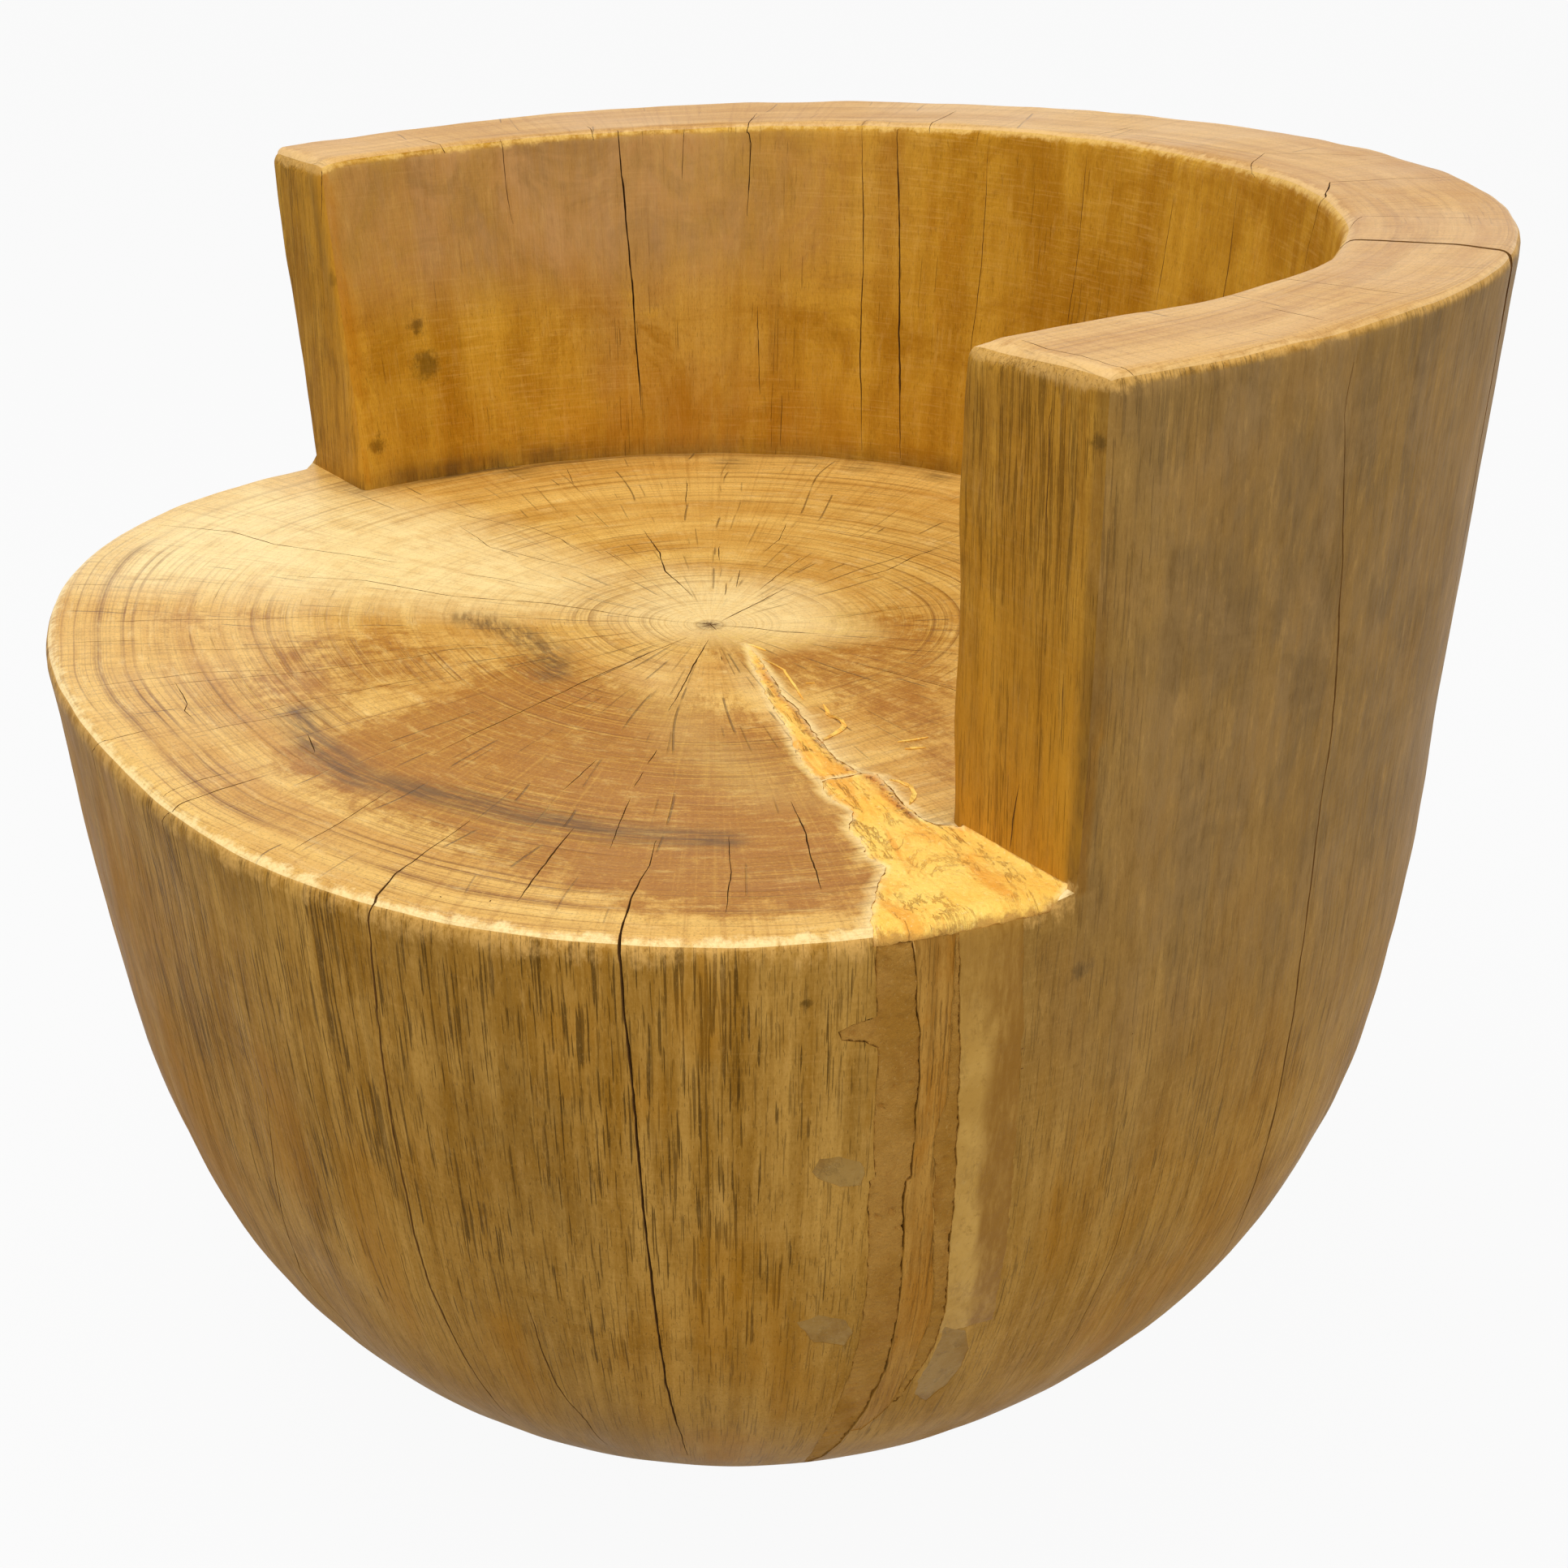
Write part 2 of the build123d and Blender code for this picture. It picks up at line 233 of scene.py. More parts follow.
def modelBlank():
    radius, band, hollow = blank["radius"], blank["edgeBand"], blank["hollowRadius"]
    bpy.ops.object.select_all(action="DESELECT")
    bpy.ops.mesh.primitive_cylinder_add(vertices=blank["columns"], radius=radius, depth=seatHeight - band,
                                        end_fill_type="NGON", location=(0, 0, (seatHeight - band) / 2),
                                        rotation=(0, 0, pi / 2))
    piece = bpy.context.object
    piece.name = "trunk_wood"
    bpy.ops.object.transform_apply(location=True, rotation=True, scale=True)
    bpy.ops.object.mode_set(mode="EDIT")
    selectBy("EDGE", lambda edge: all(v.co.z < touch for v in edge.verts))
    bpy.ops.mesh.bevel(offset=blank["footRound"], segments=2)
    selectBy("EDGE", upright(blank["footRound"], seatHeight))
    bpy.ops.mesh.subdivide(number_cuts=blank["bowlRows"])
    selectBy("FACE", lambda face: face.normal.z > 0.9)
    bpy.ops.mesh.extrude_region_move(TRANSFORM_OT_translate={"value": (0, 0, band)})
    rings = [radius, radius - band, hollow + band, hollow, 0.004]
    for outer, inner in zip(rings, rings[1:]):
        bpy.ops.mesh.inset(thickness=outer - inner)
    bpy.ops.mesh.merge(type="COLLAPSE")
    selectBy("EDGE", upright(seatHeight - band, seatHeight))
    bpy.ops.mesh.subdivide(number_cuts=blank["edgeRows"])
    cuts = [blank["edgeRows"], blank["topRows"], blank["edgeRows"], blank["seatRows"]]
    for outer, inner, count in zip(rings, rings[1:-1] + [0], cuts):
        selectBy("EDGE", across(inner, outer, seatHeight))
        bpy.ops.mesh.subdivide(number_cuts=count)
    selectBy("FACE", onWall)
    bpy.ops.mesh.extrude_region_move(TRANSFORM_OT_translate={"value": (0, 0, backRise - band)})
    selectBy("EDGE", upright(seatHeight, blankTop - band))
    bpy.ops.mesh.subdivide(number_cuts=blank["wallRows"])
    wallTop = blankTop - band - touch
    selectBy("FACE", lambda face: face.normal.z > 0.9 and face.calc_center_median().z > wallTop)
    bpy.ops.mesh.extrude_region_move(TRANSFORM_OT_translate={"value": (0, 0, band)})
    selectBy("EDGE", upright(blankTop - band, blankTop))
    bpy.ops.mesh.subdivide(number_cuts=blank["edgeRows"])
    first = blank["armColumns"] * step

    def besideArm(edge):
        (r1, a1, z1), (r2, a2, z2) = ends(edge)
        if r1 < 0.05 or abs(z1 - z2) > touch or abs(a1 - a2) < 0.5 * step:
            return False
        right = min(a1, a2) > -first - 0.01 and max(a1, a2) < -first + step + 0.01
        left = min(a1, a2) > -180 + first - step - 0.01 and max(a1, a2) < -180 + first + 0.01
        return right or left
    selectBy("EDGE", besideArm)
    bpy.ops.mesh.subdivide(number_cuts=blank["armRows"])
    bpy.ops.object.mode_set(mode="OBJECT")
    return piece


def falling(value, near, far):
    # 1 up to near, then down to 0 at far
    t = np.clip((far - value) / (far - near), 0, 1)
    return t * t * (3 - 2 * t)


def corner(sizes, radius):
    # Pulls a sharp corner in to a round one: sizes are how far past the round's centre a point stands
    length = np.sqrt(sum(size * size for size in sizes))
    pull = np.where(length > radius, radius / np.maximum(length, 1e-9) - 1, 0)
    return [size * pull for size in sizes]


def pointsOf(piece):
    co = np.zeros(len(piece.data.vertices) * 3)
    piece.data.vertices.foreach_get("co", co)
    return co.reshape(-1, 3)


def shapeLog(piece):
    x, y, z = pointsOf(piece).T
    radius, hollow = blank["radius"], blank["hollowRadius"]
    spoke, bearing = np.hypot(x, y), np.arctan2(y, x)
    lift = np.clip((z - seatHeight) / backRise, 0, 1)
    back = lift > touch
    # Columns near the arms lean over so that the arm ends are flat
    right = np.abs(bearing) < pi / 2
    turned = np.where(right, bearing, (pi - bearing + pi) % (2 * pi) - pi)
    real = turned.copy()
    for again in range(2):
        full = np.where(right, real, pi - real)
        full = (full + pi) % (2 * pi) - pi
        outer, inner = reach(outsideTable, full, z), reach(hollowTable, full, np.maximum(z, seatHeight))
        seated = np.where(spoke < hollow, spoke / hollow * inner,
                          inner + (spoke - hollow) / (radius - hollow) * (outer - inner))
        place = np.where(z < seatHeight - blank["edgeBand"] + 1e-5, spoke / radius * outer, seated)
        near = np.clip(1 - np.abs(turned - armBearing) / radians(25), 0, 1)
        near *= np.clip((place - 0.06) / 0.12, 0, 1)
        aim = np.arcsin(np.clip((armLine - pith[1]) / np.maximum(place, 0.06), -1, 1))
        real = turned + near * (aim - armBearing)
    full = (np.where(right, real, pi - real) + pi) % (2 * pi) - pi
    px, py = pith[0] + place * np.cos(full), pith[1] + place * np.sin(full)
    pz = np.where(back, seatHeight + lift * (topLevel(px, py) - seatHeight), z)
    # Worn edges: the top, the arm ends, and the seat's front rim
    wear = np.array([0.8 + 0.5 * noise.noise(Vector((a, b, c)) * 25) for a, b, c in zip(px, py, pz)])
    outside, inside = outer - place, place - inner
    armTop = falling(py - armLine, 0.0, 0.035) * falling(topLevel(px, py) - pz, 0.0, 0.035)
    leftTop = armTop * (px < 0) * falling(outside, 0.0, 0.03)
    edge = blank["edgeRound"] * wear * (1 + 0.5 * armTop + 0.8 * leftTop)
    out = np.where(outside < inside, np.maximum(edge - outside, 0), -np.maximum(edge - inside, 0))
    front = -np.maximum(edge - (py - armLine), 0)
    up = np.maximum(edge - (topLevel(px, py) - pz), 0)
    foot = (np.abs(z - seatHeight) < 1e-5) & (py > armLine - 1e-3) & (inside < 0.02)
    wall = (back & (place > inner - touch)) | (foot & (place > inner - touch))
    moves = corner([np.where(wall, out, 0), np.where(wall, front, 0), np.where(wall, up, 0)], edge)
    rim = (py < armLine - 0.0005) & (z > seatHeight - blank["edgeBand"] - touch) & ~back
    rimRound = blank["rimRound"] * (0.6 + 0.4 * wear)
    rimMoves = corner([np.where(rim, np.maximum(rimRound - outside, 0), 0),
                       np.where(rim, np.maximum(rimRound - (seatHeight - z), 0), 0)], rimRound)
    slide = moves[0] + rimMoves[0]
    px = px + slide * np.cos(full)
    py = py + slide * np.sin(full) + moves[1]
    pz = pz + moves[2] + rimMoves[1]
    free = np.clip((z - 0.006) / 0.05, 0, 1)
    points = []
    for a, b, c, amount in zip(px, py, pz, free):
        point = Vector((a, b, c))
        swell = noise.noise_vector(point / blank["swellLength"]) * blank["swell"]
        ripple = noise.noise_vector(point / blank["rippleLength"]) * blank["ripple"]
        points.append(point + (swell + ripple) * amount)
    piece.data.vertices.foreach_set("co", np.array(points).ravel())
    piece.data.update()


def addRegions(piece):
    for region in regions:
        piece.data.materials.append(None)


def paintAll(piece, index):
    piece.data.polygons.foreach_set("material_index", [index] * len(piece.data.polygons))


def regionOf(face):
    # The part of the plain blank that a face lies in
    x, y, z = face.center
    if z < touch:
        return "foot_grain"
    if z < seatHeight + touch:
        return "seat_grain" if face.normal.z > 0.5 else "log_side"
    if face.normal.z > 0.5:
        return "top_grain"
    if abs(face.normal.x * y - face.normal.y * x) / hypot(x, y) > 0.7:
        return "arm_end"
    return "inner_wall" if hypot(x, y) < blank["hollowRadius"] + 1e-3 else "log_side"


trunk = modelBlank()
addRegions(trunk)
found = [regions.index(regionOf(face)) for face in trunk.data.polygons]
trunk.data.polygons.foreach_set("material_index", found)
shapeLog(trunk)
print("log shaped:", len(trunk.data.polygons), "faces")


# Seat, top and arm places are in mm, the others are an angle round the seat's centre and a height in mm
def onTable(table, angle, level):
    way = np.array([cos(radians(angle)), sin(radians(angle))])
    far = 0.3
    for again in range(8):
        plan = seatCentre + far * way - pith
        far += float(reach(table, np.array([atan2(plan[1], plan[0])]), np.array([level]))[0]) - hypot(*plan)
    return Vector((*(seatCentre + far * way), level))


def placeOn(kind, a, b):
    if kind == "seat":
        return Vector((a / 1000, b / 1000, seatHeight))
    if kind == "top":
        return Vector((a / 1000, b / 1000, float(topLevel(a / 1000, b / 1000))))
    if kind == "arm":
        return Vector((a / 1000, armLine, b / 1000))
    return onTable(outsideTable if kind == "side" else hollowTable, a, b / 1000)


def finishWith(piece, kind, **settings):
    # Applies one modifier
    modifier = piece.modifiers.new(kind.lower(), kind)
    for name, value in settings.items():
        setattr(modifier, name, value)
    bpy.context.view_layer.objects.active = piece
    bpy.ops.object.modifier_apply(modifier=modifier.name)


def cut(piece, tool, operation="DIFFERENCE"):
    finishWith(piece, "BOOLEAN", operation=operation, solver="MANIFOLD", object=tool)


def deleteTool(tool):
    selectOnly(tool)
    bpy.ops.object.delete()


def turnOut(piece):
    # Makes the faces of a closed tool point outwards
    selectOnly(piece)
    bpy.ops.object.mode_set(mode="EDIT")
    bpy.ops.mesh.select_all(action="SELECT")
    bpy.ops.mesh.normals_make_consistent(inside=False)
    bpy.ops.object.mode_set(mode="OBJECT")


# The repaired split: its edges from left to right as angles at heights, and the strips between them
split = {
    "top": 0.3805, "above": 0.0024, "overlap": 0.0003, "depth": 0.018, "lap": 0.012, "rowStep": 0.004,
    "ragged": 0.0007,
    "edges": (
        ((383, -21.0), (351, -20.8), (348.5, -22.3), (346, -23.1), (342, -22.8), (339.5, -21.0), (337, -20.6),
            (294, -20.6), (276, -20.3), (274, -20.7), (218, -20.2), (195, -20.2), (164, -20.4), (130, -20.9),
            (100, -21.3), (70, -20.9), (46, -19.9)),
        ((384, -18.7), (372, -18.4), (340, -18.0), (321, -17.8), (272, -17.8), (271, -18.1), (240, -17.9),
            (211, -17.6), (159, -17.5), (130, -18.2), (100, -18.9), (70, -19.1), (46, -19.2)),
        ((381, -15.9), (346, -15.9), (305, -15.9), (289, -16.5), (263, -16.2), (196, -15.0), (160, -15.4),
            (130, -16.2), (108, -17.9)),
        ((381, -15.7), (369, -15.6), (318, -15.1), (294, -14.9), (261, -14.6), (234, -14.5), (193, -13.9),
            (170, -14.0), (150, -14.9), (131, -15.8)),
        ((383, -11.5), (322, -10.8), (279, -10.5), (239, -10.2), (211, -10.0), (178, -9.6)),
    ),
    "strips": (
        {"name": "side_filler", "between": (0, 1), "low": 0.048, "voxel": 0.0011, "rough": 0.00045,
            "pits": 0.0014, "sunk": 0.0005},
        {"name": "wood_sliver", "between": (1, 2), "low": 0.110, "voxel": 0, "rough": 0.0002, "pits": 0,
            "sunk": 0.0003},
        {"name": "seam_filler", "between": (2, 3), "low": 0.133, "voxel": 0.0010, "rough": 0.0005,
            "pits": 0.0008, "sunk": 0.0002},
        {"name": "smooth_filler", "between": (3, 4), "low": 0.180, "voxel": 0, "rough": 0.0002, "pits": 0,
            "sunk": 0},
    ),
    "spots": (
        {"name": "upper_filler_spot", "outline": ((-24.4, 282), (-23.9, 288), (-22.7, 288.5), (-21.3, 284.5),
            (-20.9, 278), (-21.2, 272), (-22.5, 273), (-24.0, 278))},
        {"name": "lower_filler_spot", "outline": ((-24.8, 201), (-23.4, 205), (-21.3, 200), (-20.7, 191),
            (-21.3, 183), (-23.5, 187))},
        {"name": "lens_filler_spot", "outline": ((-13.7, 184), (-13.8, 172), (-14.0, 160), (-14.5, 147),
            (-14.3, 136), (-13.0, 128), (-11.6, 136), (-10.9, 150), (-10.8, 163), (-11.8, 178))},
    ),
    "patch": {
        "name": "seat_filler", "bottom": 0.3802, "voxel": 0.0011, "rough": 0.00035, "pits": 0.0006,
        "outline": ((200, -84), (209, -89), (219, -91), (233, -91), (243, -99), (247, -103), (257, -104),
            (271, -111), (283, -110), (293, -121), (301, -128), (315, -140), (328, -148), (348, -158),
            (366, -150), (364, -128), (350, -104), (343, -84), (339, -71), (336, -62.8), (325, -62.8),
            (309, -62.8), (292, -62.8), (274, -63), (266, -66.5), (262, -71), (255, -72), (246, -71),
            (233, -68), (219, -63.5), (208, -61), (204, -63), (202, -67), (202, -73), (200, -80)),
        "pitted": ((204, -63), (219, -65), (233, -69), (248, -73)),
    },
    "loopDepth": 0.002, "loopAbove": 0.00035,
    "loops": (   # thin lines of filler beside the vein: how wide, then the places on the seat
        (0.0021, (165, -62), (160, -49), (155, -41.5), (148, -38), (139, -39), (128, -34)),
        (0.0023, (215, -60), (219, -57.5), (226, -57), (233, -60), (240, -68)),
        (0.0015, (183, -33), (186, -19)), (0.0018, (191, -35), (195, -27)),
        (0.0014, (102, -26), (104, -22.5)), (0.0012, (66, -26), (84, -26), (104, -33), (118, -38)),
        (0.0013, (44, -21), (52, -19.5), (58, -19)),
    ),
    "vein": {
        "name": "vein_filler", "bottom": 0.376, "voxel": 0.0010, "rough": 0.0004, "pits": 0.0009,
        "outline": ((44, -21.5), (61, -29), (69, -34), (94, -44), (104, -49), (121, -56), (135, -60),
            (151, -67), (163, -73), (178, -79), (190, -83), (199, -83), (199.5, -79), (201, -72), (203, -65),
            (197, -65), (184, -65), (169, -61), (160, -58), (144, -52), (125, -46), (110, -43), (95, -36.5),
            (78, -31.5), (60, -25)),
        "pitted": ((78, -31.5), (110, -43), (125, -46), (144, -52), (160, -58), (184, -64), (203, -66)),
    },
}


def edgeAngle(index, level):
    # Angle of one of the split's edges at a height, with a ragged line
    edge = split["edges"][index]
    levels, angles = zip(*edge[::-1])
    angle = np.interp(level * 1000, levels, angles)
    wobble = noise.noise(Vector((level * 90, index * 7.3, 0)))
    wobble += 0.6 * noise.noise(Vector((level * 330, index * 3.1, 5)))
    return angle + degrees(wobble * split["ragged"] / 0.3)


def stripBlock(name, between, low, grow):
    # A grid of two columns, laid just outside the log's side and drawn in to just under it
    levels = {low, split["top"]}
    for index in between:
        corners = [height / 1000 for height, angle in split["edges"][index]]
        levels.update(level for level in corners if low < level < split["top"])
    levels.update(np.arange(low, split["top"], split["rowStep"]))
    levels = sorted(levels)
    spaced = zip(levels, levels[1:] + [1])
    levels = [level for level, after in spaced if after - level > 0.0008 or level == low]
    bpy.ops.object.select_all(action="DESELECT")
    bpy.ops.mesh.primitive_grid_add(x_subdivisions=1, y_subdivisions=len(levels) - 1)
    block = bpy.context.object
    block.name = name
    bpy.ops.object.mode_set(mode="EDIT")
    bpy.ops.mesh.select_all(action="SELECT")
    bpy.ops.mesh.extrude_region_move(TRANSFORM_OT_translate={"value": (0, 0, 1)})
    bpy.ops.object.mode_set(mode="OBJECT")
    rows = np.array([round((vertex.co.y + 1) / 2 * (len(levels) - 1)) for vertex in block.data.vertices])
    for vertex, row in zip(block.data.vertices, rows):
        level, right, inside = levels[row], vertex.co.x > 0, vertex.co.z > 0.5
        place = onTable(outsideTable, edgeAngle(between[1 if right else 0], level), level)
        away = Vector((place.x - seatCentre[0], place.y - seatCentre[1], 0)).normalized()
        aside = Vector((-away.y, away.x, 0)) * (grow if right else -grow)
        if row in (0, len(levels) - 1):
            level += grow * (1 if row else -1)
        deep = -split["depth"] if inside else split["lap"]
        vertex.co = Vector((place.x, place.y, level)) + aside + away * deep
    turnOut(block)
    return block


def ragged(outline, pitch, amount, seed):
    # A closed outline with points every few mm, moved a little by noise
    points = []
    for (ax, ay), (bx, by) in zip(outline, outline[1:] + outline[:1]):
        count = max(1, round(hypot(bx - ax, by - ay) / pitch))
        for k in range(count):
            x, y = ax + (bx - ax) * k / count, ay + (by - ay) * k / count
            push = noise.noise_vector(Vector((x / 5, y / 5, seed))) * amount
            push += noise.noise_vector(Vector((x / 1.8, y / 1.8, seed))) * amount * 0.4
            points.append((x + push.x, y + push.y))
    return points


def grown(outline, by):
    # Moves a closed outline outwards
    points = np.array(outline)
    along = np.roll(points, -1, 0) - np.roll(points, 1, 0)
    out = np.stack([along[:, 1], -along[:, 0]], 1) / np.linalg.norm(along, axis=1)[:, None]
    area = np.sum(points[:, 0] * np.roll(points[:, 1], -1) - np.roll(points[:, 0], -1) * points[:, 1])
    return [tuple(point) for point in points + out * by * np.sign(area)]


def outlineBlock(name, points, depth):
    # A filled ring of vertices, set to an outline and drawn out to a block along depth
    bpy.ops.object.select_all(action="DESELECT")
    bpy.ops.mesh.primitive_circle_add(vertices=len(points), radius=0.1, fill_type="NGON")
    block = bpy.context.object
    block.name = name
    for vertex, point in zip(block.data.vertices, points):
        vertex.co = point
    bpy.ops.object.mode_set(mode="EDIT")
    bpy.ops.mesh.select_all(action="SELECT")
    bpy.ops.mesh.extrude_region_move(TRANSFORM_OT_translate={"value": depth})
    bpy.ops.object.mode_set(mode="OBJECT")
    turnOut(block)
    return block


def inlayBlock(name, entry, grow):
    outline = grown(ragged(entry["outline"], 2.2, 1.1, 3), grow * 1000)
    bottom = entry["bottom"] - grow
    points = [(x / 1000, y / 1000, bottom) for x, y in outline]
    return outlineBlock(name, points, (0, 0, seatHeight + split["above"] - bottom))


def spotBlock(name, entry, grow):
    degreeLength = 5.5     # mm round the log
    flat = [(angle * degreeLength, height) for angle, height in entry["outline"]]
    outline = grown(ragged(flat, 3, 0.9, 8), grow * 1000)
    points = [onTable(outsideTable, a / degreeLength, b / 1000) for a, b in outline]
    middle = sum(points, Vector()) / len(points)
    away = Vector((middle.x - seatCentre[0], middle.y - seatCentre[1], -0.12)).normalized()
    return outlineBlock(name, [point - away * 0.006 for point in points], away * 0.014)


def roughen(piece, rough, pits, sunk=0.0):
    # Grain and pits of a filling, as small moves in and out
    mesh = piece.data
    for vertex, normal in zip(mesh.vertices, [Vector(item.vector) for item in mesh.vertex_normals]):
        place = vertex.co.copy()
        move = rough * (noise.noise(place / 0.0022) + 1.2 * noise.noise(place / 0.008))
        hole = noise.noise(place / 0.0035 + Vector((3, 7, 1))) + 0.7 * noise.noise(place / 0.02)
        move -= pits * max(0.0, hole - 0.55) * 3 + sunk
        vertex.co = place + normal * move
    mesh.update()


def refine(piece, longest=0.004):
    # Splits long edges so that a noise move shows
    for again in range(2):
        selectOnly(piece)
        bpy.ops.object.mode_set(mode="EDIT")
        selectBy("EDGE", lambda edge: edge.calc_length() > longest)
        bpy.ops.mesh.subdivide(number_cuts=1)
        bpy.ops.object.mode_set(mode="OBJECT")


def makeFillings():
    overlap, fillings, tools = split["overlap"], {}, []
    lens = spotBlock("tool", split["spots"][2], 0)
    for entry in split["strips"]:
        piece = stripBlock(entry["name"], entry["between"], entry["low"], overlap / 2)
        cut(piece, trunk, "INTERSECT")
        cut(piece, lens)
        fillings[entry["name"]] = (piece, entry)
        tools.append(stripBlock("tool", entry["between"], entry["low"], -overlap / 2))
    deleteTool(lens)
    for entry in (split["patch"], split["vein"]):
        piece = inlayBlock(entry["name"], entry, overlap / 2)
        cut(piece, trunk, "INTERSECT")
        fillings[entry["name"]] = (piece, entry)
        tools.append(inlayBlock("tool", entry, -overlap / 2))
    for entry in split["spots"]:
        piece = spotBlock(entry["name"], entry, overlap / 2)
        cut(piece, trunk, "INTERSECT")
        fillings[entry["name"]] = (piece, {"voxel": 0, "rough": 0.00015, "pits": 0, "sunk": 0.0002})
        tools.append(spotBlock("tool", entry, -overlap / 2))
    for tool in tools:
        cut(trunk, tool)
        deleteTool(tool)
    for name, (piece, entry) in fillings.items():
        if entry["voxel"]:
            finishWith(piece, "REMESH", mode="VOXEL", voxel_size=entry["voxel"])
        else:
            refine(piece)
        roughen(piece, entry["rough"], entry["pits"], entry.get("sunk", 0))
        print("filling", name, len(piece.data.polygons))
    return {name: piece for name, (piece, entry) in fillings.items()}


fillings = makeFillings()
print("fillings made, trunk", len(trunk.data.polygons))

